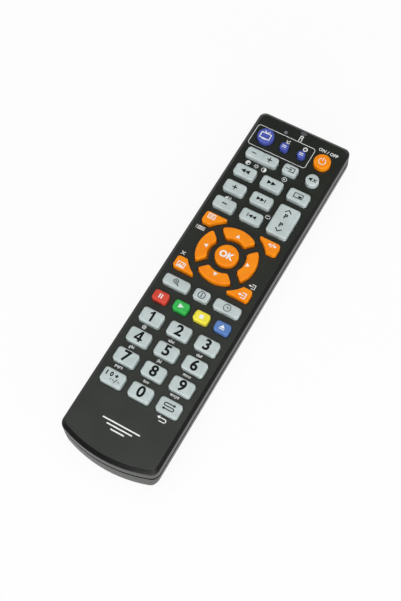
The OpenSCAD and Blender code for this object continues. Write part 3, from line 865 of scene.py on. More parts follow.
    def add_waist(self, work: Workpiece) -> None:
        """Presses a shallow valley across the middle of a rocker's top.

        Args:
            work: The workpiece.
        """
        for offset in (-FORM.waist_half, 0.0, FORM.waist_half):
            work.cut((self.spot.x + offset, 0, 0), (1, 0, 0))
        crest = [vert for vert in work.bm.verts if abs(vert.co.x - self.spot.x) < FORM.waist_reach
                 and vert.co.z > self.top - 2 * self.crown.edge_r]
        work.shift(crest, 0.0, 0.0, -FORM.waist_depth)

    def add_pills(self, work: Workpiece) -> None:
        """Sets the carbon pills, and a rocker's axle, under the key.

        Args:
            work: The workpiece.
        """
        low = self.low
        if self.kind is KeyKind.ROCKER:
            axle = work.post(FORM.axle_r, min(self.width, self.length) + 2 * FORM.skirt)
            work.shift(axle, 0.0, 0.0, -min(self.width, self.length) / 2 - FORM.skirt)
            work.turn(axle, 90.0, "X" if self.width > self.length else "Y")
            work.shift(axle, self.spot.x, self.spot.y, FORM.axle_z)
            low = FORM.axle_z - FORM.axle_r / 2
        radius = min(FORM.pill_r, min(self.width, self.length) / 2 - FORM.pill_margin)
        for x, y in self.pills():
            pill = work.post(radius, FORM.skirt_low + FORM.skirt_t / 2 - low)
            work.shift(pill, x, y, low)
            for face in {face for vert in pill for face in vert.link_faces}:
                face.material_index = self.finishes.index(CARBON)

    def build(self) -> None:
        """Makes the key."""
        work = Workpiece()
        shoulder = self.top - self.crown.rise()
        if self.kind in (KeyKind.ROCKER, KeyKind.CORNER):
            face = self.outline(work, 0.0)
            work.shift(work.bm.verts, 0.0, 0.0, FORM.skirt_low)
            face = work.raise_face(face, shoulder - FORM.skirt_low)
        else:
            face = self.outline(work, FORM.skirt)
            work.shift(work.bm.verts, 0.0, 0.0, FORM.skirt_low)
            face = work.inset(work.raise_face(face, FORM.skirt_t), FORM.skirt)
            face = work.raise_face(face, shoulder - FORM.skirt_low - FORM.skirt_t)
        work.round_edges(face.edges, self.crown.edge_r, FORM.crown_steps)
        face = work.top_face()
        for width, rise in self.crown.pillow:
            face = work.inset(face, width, rise)
        if self.node == "rocker_picture":
            self.add_waist(work)
        if self.kind is KeyKind.CORNER:
            skirt = Workpiece()
            skirt.raise_face(self.outline(skirt, FORM.skirt), FORM.skirt_t)
            skirt.shift(skirt.bm.verts, 0.0, 0.0, FORM.skirt_low)
            work.take_in(skirt)
        self.add_pills(work)
        work.stand_for(self.node, "cap_", self.node, self.finishes)


class Stencil(Workpiece):
    """A flat print, drawn round the origin and pressed onto a surface.

    Attributes:
        THICK: Thickness of the ink.
        LAYER: Rise of each part over the one drawn before it.
        SINK: How far the ink reaches into the surface.
        CRISP_INK: Turn in degrees from which an edge of the ink stays crisp.
        CAP_HEIGHT: Height of a capital letter as a share of the font's size.
        JOINT_SIDES: Sides of the dot at a line's joint.
        ARC_STEP: Degrees of a ring that one segment covers.
        ARC_LEAST: Least number of segments in an arc.
        CURVE_STEPS: Segments of each curve of a letter.
    """

    THICK = 0.02
    LAYER = 0.0015
    SINK = 0.01
    CRISP_INK = 20.0
    CAP_HEIGHT = 0.74
    JOINT_SIDES = 12
    ARC_STEP = 12
    ARC_LEAST = 6
    CURVE_STEPS = 4

    def draw(self, strokes: Iterable[Stroke]) -> None:
        """Draws strokes in turn."""
        for way, sizes in strokes:
            way(self, *sizes)

    def bar(self, x: float, y: float, width: float, height: float, angle: float = 0.0) -> None:
        """Draws a bar.

        Args:
            x: Its middle along X.
            y: Its middle along Y.
            width: Size along X before it is turned.
            height: Size along Y before it is turned.
            angle: Turn in degrees.
        """
        made = self.rectangle(width, height)
        self.turn(made, angle)
        self.shift(made, x, y)

    def line(self, width: float, *points: Point) -> None:
        """Draws a line of a width through points, with round joints.

        Args:
            width: Width of the line.
            *points: The points.
        """
        for (x, y), (far_x, far_y) in zip(points, points[1:]):
            length = math.hypot(far_x - x, far_y - y)
            self.bar((x + far_x) / 2, (y + far_y) / 2, length, width,
                     math.degrees(math.atan2(far_y - y, far_x - x)))
        for x, y in points:
            self.dot(x, y, width / 2, self.JOINT_SIDES)

    def dot(self, x: float, y: float, radius: float, sides: int = 24) -> None:
        """Draws a filled circle."""
        self.shift(self.disc(radius, sides).verts, x, y)

    def ring(self, x: float, y: float, radius: float, width: float, start: float = 0.0,
             sweep: float = 360.0) -> None:
        """Draws a ring or an arc of one.

        Args:
            x: Its middle along X.
            y: Its middle along Y.
            radius: Radius to the middle of the line.
            width: Width of the line.
            start: Angle of an arc's first end in degrees.
            sweep: Angle that it covers in degrees.
        """
        steps = max(self.ARC_LEAST, round(sweep / self.ARC_STEP))
        self.shift(self.sector(radius - width / 2, radius + width / 2, start, sweep, steps), x, y)

    def shape(self, *points: Point) -> None:
        """Draws a filled shape through a few corners."""
        self.bm.faces.new([self.bm.verts.new((x, y, 0.0)) for x, y in points])

    def arrow(self, x: float, y: float, width: float, height: float, angle: float = 0.0) -> None:
        """Draws a triangle that points along +X before it is turned.

        Args:
            x: Its middle along X.
            y: Its middle along Y.
            width: Length from its base to its tip.
            height: Length of its base.
            angle: Turn in degrees.
        """
        known = set(self.bm.verts)
        self.shape((-width / 2, -height / 2), (width / 2, 0.0), (-width / 2, height / 2))
        made = self.fresh(known)
        self.turn(made, angle)
        self.shift(made, x, y)

    def box(self, x: float, y: float, width: float, height: float, line: float) -> None:
        """Draws the outline of a rectangle."""
        left, right, low, high = x - width / 2, x + width / 2, y - height / 2, y + height / 2
        self.line(line, (left, low), (right, low), (right, high), (left, high), (left, low))

    def letters(self, words: str, x: float, y: float, height: float, weight: float = 0.03,
                spacing: float = 1.0) -> None:
        """Draws lettering with its middle at a place.

        Args:
            words: The characters.
            x: Middle along X.
            y: Middle along Y.
            height: Height of a capital or a digit.
            weight: How much the strokes are thickened, as a share of the size.
            spacing: Distance between characters, as a share of the usual one.
        """
        curve = bpy.data.curves.new("lettering", "FONT")
        curve.body = words
        curve.size = height / self.CAP_HEIGHT
        curve.offset = weight * curve.size
        curve.space_character = spacing
        curve.resolution_u = self.CURVE_STEPS
        holder = bpy.data.objects.new("lettering", curve)
        flat = bpy.data.meshes.new_from_object(holder)
        known = set(self.bm.verts)
        self.bm.from_mesh(flat)
        for block, store in ((holder, bpy.data.objects), (curve, bpy.data.curves), (flat, bpy.data.meshes)):
            store.remove(block)
        made = self.fresh(known)
        across, along = ([vert.co[axis] for vert in made] for axis in (0, 1))
        self.shift(made, x - (min(across) + max(across)) / 2, y - (min(along) + max(along)) / 2)

    def parts(self) -> Iterator[set[BMVert]]:
        """Goes through the separate parts of the print.

        Yields:
            The vertices of each part.
        """
        known: set[BMVert] = set()
        for first in self.bm.verts:
            if first in known:
                continue
            part: set[BMVert] = set()
            front = {first}
            while front:
                part |= front
                front = {edge.other_vert(vert) for vert in front for edge in vert.link_edges} - part
            known |= part
            yield part

    def press(self, name: str, body: str, ink: Ink, spot: Point, level: float) -> None:
        """Ends the print on a surface.

        Args:
            name: Name of the piece.
            body: CAD body that it rides on.
            ink: Its ink.
            spot: Place of the drawing's origin.
            level: Height of the surface.
        """
        made = bmesh.ops.extrude_face_region(self.bm, geom=self.bm.faces[:])["geom"]
        self.shift((part for part in made if isinstance(part, BMVert)), 0.0, 0.0, self.THICK)
        for layer, part in enumerate(self.parts()):
            self.shift(part, 0.0, 0.0, layer * self.LAYER)
        self.shift(self.bm.verts, *spot, level - self.SINK)
        bmesh.ops.recalc_face_normals(self.bm, faces=self.bm.faces)
        self.finish(name, body, (ink.value,), sharp=self.CRISP_INK, outward=False)


BAR, LINE, DOT, RING = Stencil.bar, Stencil.line, Stencil.dot, Stencil.ring
SHAPE, ARROW, BOX, LETTERS = Stencil.shape, Stencil.arrow, Stencil.box, Stencil.letters
SPEAKER: Stroke = (SHAPE, ((-1.5, -0.42), (-0.95, -0.42), (-0.15, -1.05), (-0.15, 1.05), (-0.95, 0.42),
                           (-1.5, 0.42)))


class Sign(Enum):
    """Plain pictograms of a remote control, each as the strokes that draw it round the origin.

    A stroke is a way of drawing and the sizes that it takes, in millimetres and degrees.
    """

    MINUS = ((BAR, (0.0, 0.0, 2.2, 0.58)),)
    PLUS = ((BAR, (0.0, 0.0, 2.3, 0.48)), (BAR, (0.0, 0.0, 0.48, 2.3)))
    LESS_MORE = ((BAR, (-3.9, 0.0, 2.1, 0.46)), (BAR, (3.5, 0.0, 2.3, 0.48)), (BAR, (3.5, 0.0, 0.48, 2.3)))
    REWIND = ((ARROW, (-0.97, 0.1, 2.05, 2.0, 180.0)), (ARROW, (0.97, 0.1, 2.05, 2.0, 180.0)))
    FORWARD = ((ARROW, (-0.97, 0.1, 2.05, 2.0)), (ARROW, (0.97, 0.1, 2.05, 2.0)))
    FOLLOWING = ((ARROW, (-1.27, 0.0, 1.8, 1.85)), (ARROW, (0.46, 0.0, 1.8, 1.85)),
                 (BAR, (1.68, 0.0, 0.4, 1.73)))
    PREVIOUS = ((ARROW, (-0.46, 0.0, 1.73, 1.73, 180.0)), (ARROW, (1.27, 0.0, 1.73, 1.73, 180.0)),
                (BAR, (-1.68, 0.0, 0.4, 1.73)))
    PRESETS = ((BOX, (0.0, 0.0, 3.8, 2.1, 0.34)), (BAR, (0.8, -0.3, 1.5, 0.9)))
    SOURCE = ((LINE, (0.34, (-0.5, 1.0), (1.8, 1.0), (1.8, -1.0), (-0.5, -1.0))),
              (LINE, (0.34, (-2.0, 0.0), (0.0, 0.0))), (ARROW, (0.4, 0.0, 1.0, 1.2)))
    MUTE = (SPEAKER, (LINE, (0.36, (0.45, -0.65), (1.75, 0.65))),
            (LINE, (0.36, (0.45, 0.65), (1.75, -0.65))))
    VOLUME = (SPEAKER, (RING, (-0.1, 0.0, 0.7, 0.36, -42.0, 84.0)),
              (RING, (-0.1, 0.0, 1.35, 0.36, -42.0, 84.0)))
    SCREEN = ((BOX, (0.0, -0.35, 4.4, 2.7, 0.42)), (BAR, (0.0, -2.0, 2.2, 0.4)),
              (LINE, (0.34, (-1.1, 2.0), (0.0, 1.1), (1.1, 2.0))))
    DISH = ((RING, (0.35, 0.3, 1.05, 0.36, 160.0, 150.0)), (LINE, (0.26, (-0.35, -0.4), (0.5, 0.5))),
            (DOT, (0.62, 0.62, 0.28)), (BAR, (-0.35, -1.05, 1.3, 0.3)))
    DISC = ((RING, (0.0, 0.0, 0.85, 0.55)),)
    POWER = ((RING, (0.0, -0.1, 1.5, 0.32, 118.0, 304.0)), (BAR, (0.0, 1.0, 0.32, 1.7)))
    CHANNELS = ((LINE, (0.45, (-1.3, 4.2), (0.0, 5.4), (1.3, 4.2))), (LETTERS, ("P", 0.0, 2.2, 2.2, 0.04)),
                (LINE, (0.45, (-1.3, -4.2), (0.0, -5.4), (1.3, -4.2))),
                (LETTERS, ("P", 0.0, -2.2, 2.2, 0.04)))
    CARD = ((BOX, (0.0, 0.0, 3.0, 2.1, 0.34)), (BAR, (0.0, 0.5, 1.8, 0.26)), (BAR, (0.0, 0.0, 1.8, 0.26)),
            (BAR, (0.0, -0.5, 1.8, 0.26)))
    BALANCE = ((ARROW, (-1.3, 0.0, 1.2, 1.5, 180.0)), (ARROW, (1.3, 0.0, 1.2, 1.5)),
               (LINE, (0.36, (-0.35, -0.85), (0.35, 0.85))))
    PICTURE = ((BOX, (0.0, 0.0, 3.2, 2.2, 0.34)),
               (SHAPE, ((-1.3, -0.85), (1.3, -0.85), (0.55, 0.05), (0.15, -0.35), (-0.5, 0.5))),
               (DOT, (0.8, 0.5, 0.28)))
    LEAVE = ((LINE, (0.36, (-0.2, 1.1), (1.5, 1.1), (1.5, -1.1), (-0.2, -1.1))),
             (LINE, (0.36, (0.7, 0.0), (-0.8, 0.0))), (ARROW, (-1.3, 0.0, 1.1, 1.3, 180.0)))
    AGREE = ((LETTERS, ("OK", 0.0, 0.0, 2.85, 0.045, 1.05)),)
    UP = ((ARROW, (0.0, 0.0, 1.5, 1.9, 90.0)),)
    LEFT = ((ARROW, (0.0, 0.0, 1.5, 1.9, 180.0)),)
    DOWN = ((ARROW, (0.0, 0.0, 1.5, 1.9, 270.0)),)
    RIGHT = ((ARROW, (0.0, 0.0, 1.5, 1.9)),)
    MAGNIFIER = ((RING, (-0.4, 0.4, 0.95, 0.36)), (LINE, (0.42, (0.35, -0.35), (1.2, -1.1))),
                 (BAR, (-0.4, 0.4, 0.9, 0.3)), (BAR, (-0.4, 0.4, 0.3, 0.9)))
    FACTS = ((RING, (0.0, 0.0, 1.45, 0.34)), (DOT, (0.0, 0.65, 0.27)), (BAR, (0.0, -0.35, 0.42, 1.2)))
    CLOCK = ((RING, (0.0, 0.0, 1.5, 0.26)), (LINE, (0.26, (0.0, 0.9), (0.0, 0.0), (0.8, 0.0))))
    PAUSE = ((BAR, (-0.5, 0.0, 0.48, 2.0)), (BAR, (0.5, 0.0, 0.48, 2.0)))
    PLAY = ((ARROW, (0.1, 0.0, 2.2, 2.0)),)
    STOP = ((BAR, (0.0, 0.0, 1.7, 1.7)),)
    EJECT = ((ARROW, (0.0, 0.4, 1.4, 2.2, 90.0)), (BAR, (0.0, -0.8, 2.2, 0.42)))
    ONE = ((SHAPE, ((0.7, -2.15), (0.7, 2.55), (-0.05, 2.55), (-0.4, 1.95), (-1.15, 1.6), (-1.15, 0.85),
                    (-0.2, 1.15), (-0.2, -2.15))),)
    FOUR = ((BAR, (0.66, 0.2, 0.95, 4.7)), (BAR, (0.05, -0.98, 3.6, 0.84)),
            (LINE, (0.72, (0.46, 2.17), (-1.4, -0.98))))
    TEN_PLUS = ((LETTERS, ("10+", -0.73, 0.9, 1.85, 0.055, 1.68)), (BAR, (-0.5, -1.05, 0.7, 0.32)),
                (BAR, (0.65, -1.05, 0.7, 0.32)), (BAR, (3.0, -1.05, 0.7, 0.32)),
                (LINE, (0.32, (1.35, -1.9), (2.15, -0.2))))
    SWAP = ((LINE, (0.42, (1.5, 1.2), (-1.7, 1.2))), (RING, (-1.7, 0.6, 0.6, 0.42, 90.0, 180.0)),
            (LINE, (0.42, (-1.7, 0.0), (1.7, 0.0))), (RING, (1.7, -0.6, 0.6, 0.42, -90.0, 180.0)),
            (LINE, (0.42, (1.7, -1.2), (-1.5, -1.2))), (ARROW, (1.95, 1.2, 1.0, 1.35)),
            (ARROW, (-1.95, -1.2, 1.0, 1.35, 180.0)))
    TWO_LINES = ((BAR, (0.0, 0.3, 1.9, 0.36)), (BAR, (0.0, -0.5, 1.9, 0.36)))
    HANDSET = ((LINE, (0.36, (-0.55, -2.4), (-0.55, 0.3), (0.55, 0.3), (0.55, -2.4))),
               (DOT, (0.0, -0.6, 0.24)))
    WAVES = tuple((RING, (0.0, 0.0, radius, 0.4, 48.0, 84.0)) for radius in (0.7, 1.4, 2.1))
    ON_OFF = ((LETTERS, ("ON / OFF", 0.0, 0.0, 1.5, 0.03, 1.05)),)
    COLOUR = ((RING, (0.0, 0.0, 0.95, 0.3)), (RING, (0.0, 0.0, 0.45, 0.6, 20.0, 250.0)))
    SUN = ((RING, (0.0, 0.0, 0.5, 0.22)),
           *((BAR, (0.95 * math.cos(math.radians(turn)), 0.95 * math.sin(math.radians(turn)),
                    0.4, 0.2, turn)) for turn in range(0, 360, 45)))
    CONTRAST = ((RING, (0.0, 0.0, 1.0, 0.24)), (RING, (0.0, 0.0, 0.5, 1.0, -90.0, 180.0)))
    ENTRY = ((RING, (0.0, 0.0, 1.0, 0.24, 210.0, 300.0)), (ARROW, (0.05, 0.0, 0.8, 0.9)),
             (BAR, (-0.8, 0.0, 1.0, 0.24)))
    LIST = tuple((BAR, (x, y, width, 0.36)) for y in (-0.7, 0.0, 0.7)
                 for x, width in ((0.5, 3.6), (-1.9, 0.42)))
    CROSS = ((LINE, (0.36, (-0.8, -0.8), (0.8, 0.8))), (LINE, (0.36, (-0.8, 0.8), (0.8, -0.8))))
    BACK = ((LINE, (0.36, (-1.2, 0.7), (1.3, 0.7))), (RING, (1.3, 0.0, 0.7, 0.36, -90.0, 180.0)),
            (LINE, (0.36, (1.3, -0.7), (-0.6, -0.7))), (ARROW, (-1.5, 0.7, 1.1, 1.4, 180.0)))
    STRIPES = tuple((LINE, (0.55, (-half, -drop), (half, -drop)))
                    for half, drop in ((8.0, 0.0), (5.4, 1.5), (2.8, 3.0)))

    def __iter__(self) -> Iterator[Stroke]:
        """Gives the strokes in the order in which they are drawn."""
        return iter(self.value)


KEY_SIGNS: dict[str, Sign] = {
    "key_tv": Sign.SCREEN, "key_power": Sign.POWER, "rocker_picture": Sign.LESS_MORE,
    "key_source": Sign.SOURCE, "key_mute": Sign.MUTE, "key_rewind": Sign.REWIND,
    "key_forward": Sign.FORWARD, "key_preset": Sign.PRESETS, "key_volume_up": Sign.PLUS,
    "key_volume_down": Sign.MINUS, "key_next": Sign.FOLLOWING, "key_previous": Sign.PREVIOUS,
    "rocker_channel": Sign.CHANNELS, "key_menu": Sign.CARD, "key_sound": Sign.BALANCE,
    "key_picture": Sign.PICTURE, "key_exit": Sign.LEAVE, "key_ok": Sign.AGREE, "key_up": Sign.UP,
    "key_left": Sign.LEFT, "key_down": Sign.DOWN, "key_right": Sign.RIGHT, "key_zoom": Sign.MAGNIFIER,
    "key_info": Sign.FACTS, "key_timer": Sign.CLOCK, "key_red": Sign.PAUSE, "key_green": Sign.PLAY,
    "key_yellow": Sign.STOP, "key_blue": Sign.EJECT, "key_ten_plus": Sign.TEN_PLUS,
    "key_return": Sign.SWAP, "key_1": Sign.ONE, "key_4": Sign.FOUR, "key_satellite": Sign.TWO_LINES,
    "key_disc": Sign.TWO_LINES,
}


@dataclass
class Keypad:
    """All rubber keys with their legends."""

    digit_height: float = 4.7
    digit_lift: float = 0.2
    digit_weight: float = 0.03
    corner_sign_x: float = 1.6
    corner_sign_y: float = 0.9

    def caps(self) -> list[KeyCap]:
        """Lists the keys with their shapes and rubbers.

        Returns:
            The keys.
        """
        discs = {"key_tv": Rubber.VIOLET, "key_disc": Rubber.VIOLET, "key_power": Rubber.ORANGE,
                 "key_mute": Rubber.GREY, "key_ok": Rubber.ORANGE}
        pads = {"key_satellite": Rubber.VIOLET, "key_red": Rubber.RED, "key_green": Rubber.GREEN,
                "key_yellow": Rubber.YELLOW, "key_blue": Rubber.BLUE}
        corners = ("key_menu", "key_sound", "key_picture", "key_exit")
        arcs = ("key_up", "key_left", "key_down", "key_right")
        made = [KeyCap(node, KeyKind.DISC, tone) for node, tone in discs.items()]
        made += [KeyCap(node, KeyKind.PAD, tone) for node, tone in pads.items()]
        made += [KeyCap(node, KeyKind.CORNER, Rubber.ORANGE) for node in corners]
        made += [KeyCap(node, KeyKind.ARC, Rubber.ORANGE, quarter) for quarter, node in enumerate(arcs)]
        made += [KeyCap(node, KeyKind.ROCKER, Rubber.GREY) for node in ("rocker_picture", "rocker_channel")]
        known = {cap.node for cap in made}
        rest = (node for node in frame["nodes"] if node.startswith("key_") and node not in known)
        return made + [KeyCap(node, KeyKind.PAD, Rubber.GREY) for node in sorted(rest)]

    def legend_spot(self, cap: KeyCap) -> Point:
        """Finds where a key's legend goes.

        Args:
            cap: The key.

        Returns:
            The legend's place.
        """
        if cap.kind is not KeyKind.CORNER:
            return cap.spot.x, cap.spot.y
        way = cap.spot - cap.pad
        return (cap.spot.x + math.copysign(self.corner_sign_x, way.x),
                cap.spot.y + math.copysign(self.corner_sign_y, way.y))

    def print_legend(self, cap: KeyCap) -> None:
        """Prints a key's sign or digit on its top.

        Args:
            cap: The key.
        """
        pen = Stencil()
        if cap.node in KEY_SIGNS:
            pen.draw(KEY_SIGNS[cap.node])
        else:
            digit = cap.node.removeprefix("key_")
            pen.letters(digit, 0.0, self.digit_lift, self.digit_height, self.digit_weight)
        ink = Ink.DARK if cap.tone is Rubber.GREY else Ink.WHITE
        pen.press("legend_" + cap.node, cap.node, ink, self.legend_spot(cap), cap.top)

    def build(self) -> None:
        """Makes every key and its legend."""
        for cap in self.caps():
            cap.build()
            self.print_legend(cap)


@dataclass(frozen=True)
class FaceSign:
    """A sign on the face plate.

    Attributes:
        name: Name of the print.
        x: Place along X.
        y: Place along Y from the middle of the direction pad.
        sign: What it shows.
        share: Its size against the drawing.
        ink: Its ink.
    """

    name: str
    x: float
    y: float
    sign: Sign
    share: float = 1.0
    ink: Ink = Ink.WHITE


FACE_SIGNS = (
    FaceSign("handset", -0.1, 65.7, Sign.HANDSET),
    FaceSign("waves", -0.1, 65.9, Sign.WAVES, ink=Ink.FAINT),
    FaceSign("dish", -4.1, 60.8, Sign.DISH, share=0.95),
    FaceSign("disc", 4.0, 60.8, Sign.DISC, share=0.95),
    FaceSign("on_off", 13.3, 64.0, Sign.ON_OFF),
    FaceSign("colour", -14.1, 43.6, Sign.COLOUR),
    FaceSign("sun", -10.2, 43.6, Sign.SUN),
    FaceSign("contrast", -6.6, 43.6, Sign.CONTRAST),
    FaceSign("entry", 3.1, 43.6, Sign.ENTRY),
    FaceSign("volume", -13.0, 24.6, Sign.VOLUME, share=0.9),
    FaceSign("channel", 5.6, 24.6, Sign.SCREEN, share=0.42),
    FaceSign("list", -16.3, 7.0, Sign.LIST, share=0.9),
    FaceSign("cancel", -16.5, -6.5, Sign.CROSS, share=0.9),
    FaceSign("exit", 15.2, -6.4, Sign.LEAVE, share=0.85),
    FaceSign("back", 11.9, -72.3, Sign.BACK),
    FaceSign("stripes", 0.0, -81.8, Sign.STRIPES),
)


@dataclass
class FacePrint:
    """White prints on the face plate, placed from the middle of the direction pad."""

    line: float = 0.26
    letter_height: float = 1.35
    letter_weight: float = 0.02
    letter_spacing: float = 1.05
    letter_left: float = 0.92
    letter_drop: float = 0.86
    frame_left: float = -19.2
    frame_right: float = 7.9
    frame_top: float = 62.9
    frame_low: float = 52.3
    frame_r: float = 1.2
    level: float = field(init=False)
    pad_y: float = field(init=False)

    def __post_init__(self) -> None:
        """Reads the face's height and the pad's place from the frame."""
        self.level = node_box("upper_case")[1].z
        low, high = node_box("key_ok")
        self.pad_y = (low.y + high.y) / 2

    def press(self, name: str, x: float, y: float, strokes: Iterable[Stroke], ink: Ink = Ink.WHITE,
              share: float = 1.0) -> None:
        """Presses one print onto the face.

        Args:
            name: Name of the piece.
            x: Place along X.
            y: Place along Y from the pad's middle.
            strokes: What is drawn round the origin.
            ink: Its ink.
            share: Size of the print against the drawing.
        """
        pen = Stencil()
        pen.draw(strokes)
        bmesh.ops.scale(pen.bm, vec=(share, share, 1.0), verts=pen.bm.verts)
        pen.press("print_" + name, CASE_BODY, ink, (x, y + self.pad_y), self.level)

    def device_frame(self) -> tuple[Stroke, ...]:
        """Gives the line round the device keys, with its corners rounded.

        Returns:
            Its strokes.
        """
        left, right, top, low = self.frame_left, self.frame_right, self.frame_top, self.frame_low
        line, radius = self.line, self.frame_r
        near, far, high, deep = left + radius, right - radius, top - radius, low + radius
        return ((LINE, (line, (near, top), (far, top))),
                (RING, (near, high, radius, line, 90.0, 90.0)),
                (RING, (far, high, radius, line, 0.0, 90.0)),
                (LINE, (line, (left, high), (left, deep))),
                (LINE, (line, (right, high), (right, deep))),
                (RING, (near, deep, radius, line, 180.0, 90.0)),
                (RING, (far, deep, radius, line, 270.0, 90.0)),
                (LINE, (line, (near, low), (far, low))))

    def build(self) -> None:
        """Presses every print."""
        self.press("device_frame", 0.0, 0.0, self.device_frame())
        for row in FACE_SIGNS:
            self.press(row.name, row.x, row.y, row.sign, row.ink, row.share)
        groups = ("@", "abc", "def", "ghi", "jkl", "mno", "pqrs", "tuv", "wxyz")
        for key, group in enumerate(groups, start=1):
            low, high = node_box(f"key_{key}")
            sizes = (group, 0.0, 0.0, self.letter_height, self.letter_weight, self.letter_spacing)
            self.press(f"letters_{key}", (low.x + high.x) / 2 - self.letter_left,
                       low.y - self.pad_y - self.letter_drop, ((LETTERS, sizes),))


@dataclass
class Case:
    """Shells, battery door and infrared window, as softened copies of their nodes."""

    rim_r: float = 0.25
    rim_drop: float = 1.0
    door_r: float = 0.15
    window_r: float = 0.12
    seam_h: float = 1.4
    edge_turn: float = 45.0
    face_crisp: float = 25.0
    rim_least: float = 0.3
    rim_most: float = 0.97
    reach: float = 0.05
    seam_reach: float = 0.01
    door_edge_h: float = 0.1
    door_lip: float = 3.0

    def soften(self, node: str, body: str, finish: Finish, radius: float, wanted: Callable[[Vector], bool],
               trim: Finish | None = None, in_painted_shade: Callable[[BMFace], bool] = lambda part: False,
               sharp: float = CRISP) -> None:
        """Stands a copy with rounded outer edges in a node's place.

        Args:
            node: Name of the node.
            body: Body that it rides on.
            finish: Its finish.
            radius: Radius of the rounded edges.
            wanted: Says from a sharp edge's middle whether it is rounded.
            trim: Finish of its trim, a darker copy of the plastic that paints shade on those faces.
            in_painted_shade: Says whether a face belongs to the trim.
            sharp: Turn in degrees from which an edge stays crisp.
        """
        work = Workpiece.copy_of(node)
        work.round_edges(work.sharp_edges(self.edge_turn, wanted), radius)
        work.bm.normal_update()
        # Faces in the mask take the trim, a darker finish that paints shade.
        for part in work.bm.faces:
            part.material_index = int(in_painted_shade(part))
        finishes = (finish, trim) if trim else (finish,)
        work.stand_for(node, "shell_", body, finishes, sharp, outward=False)

    def build(self) -> None:
        """Makes the four pieces."""
        parting, face = (corner.z for corner in node_box("upper_case"))
        head = node_box("lower_case")[1].y
        tail = node_box("battery_door")[0].y
        rim = face - self.rim_drop
        seam = parting - self.seam_h
        # The chamfer faces take the rim finish, whose darker colour is painted shade.
        self.soften("upper_case", CASE_BODY, CASE_FACE, self.rim_r,
                    lambda middle: abs(middle.z - rim) < self.reach, RIM_GLOSS_AND_SHADE,
                    lambda part: (part.calc_center_median().z > rim
                                  and self.rim_least < part.normal.z < self.rim_most), self.face_crisp)
        # The lower shell's faces in the parting groove take the seam's painted shade.
        self.soften("lower_case", CASE_BODY, CASE_FACE, self.window_r,
                    lambda middle: middle.y > head - self.reach, SEAM_PAINTED_SHADE,
                    lambda part: part.calc_center_median().z > seam - self.seam_reach)
        self.soften("battery_door", DOOR_BODY, CASE_FACE, self.door_r,
                    lambda middle: middle.z < self.door_edge_h and middle.y > tail + self.door_lip)
        self.soften("infrared_window", CASE_BODY, WINDOW, self.window_r, lambda middle: True)


@dataclass
class Cells:
    """The two cells, seen when the door is off."""

    nub_r: float = 1.9
    nub_l: float = 0.8
    crimp: float = 0.35
    band_l: float = 9.0
    ring_r: float = 4.4
    dish_h: float = 0.12
    dish_w: float = 0.5
    groove_h: float = 0.3
    groove_side: float = 0.2
    groove_foot: float = 0.6
    nub_edge: float = 0.15
    steps: int = 48
    merge: float = 0.001

    def cell(self, node: str, nub_at_head: bool) -> None:
        """Spins one cell round its own axis.

        Args:
            node: CAD node that it stands for.
            nub_at_head: Whether its nub points to the head end.
        """
        low, high = node_box(node)
        radius, length = (high.x - low.x) / 2, high.y - low.y
        crimp, shoulder, ring, nub = self.crimp, length - self.nub_l, self.ring_r, self.nub_r
        groove = shoulder - self.groove_h
        profile = ((0.0, self.dish_h), (ring - self.dish_w, self.dish_h), (ring, 0.0),
                   (radius - crimp, 0.0), (radius, crimp), (radius, shoulder - self.band_l),
                   (radius, shoulder - crimp),
                   (radius - crimp, shoulder), (ring, shoulder), (ring - self.groove_side, groove),
                   (nub + self.groove_foot, groove), (nub, shoulder), (nub, length - self.nub_edge),
                   (nub - self.nub_edge, length), (0.0, length))
        work = Workpiece()
        verts = [work.bm.verts.new((r, y, 0.0)) for r, y in profile]
        edges = [work.bm.edges.new(pair) for pair in zip(verts, verts[1:])]
        bmesh.ops.spin(work.bm, geom=[*verts, *edges], axis=(0, 1, 0), cent=(0, 0, 0), steps=self.steps,
                       angle=math.tau, use_merge=True)
        bmesh.ops.remove_doubles(work.bm, verts=work.bm.verts, dist=self.merge)
        finishes = (JACKET, CELL_BAND, CELL_END)
        for part in work.bm.faces:
            middle = part.calc_center_median()
            finish = CELL_BAND if middle.y > shoulder - self.band_l else JACKET
            if math.hypot(middle.x, middle.z) <= radius - crimp:
                finish = CELL_END
            part.material_index = finishes.index(finish)
        if not nub_at_head:
            work.turn(work.bm.verts, 180.0, "Z")
        spot = (low + high) / 2
        work.shift(work.bm.verts, spot.x, low.y if nub_at_head else high.y, spot.z)
        work.stand_for(node, "cell_", CASE_BODY, finishes)

    def build(self) -> None:
        """Makes both cells."""
        self.cell("battery_left", nub_at_head=False)
        self.cell("battery_right", nub_at_head=True)


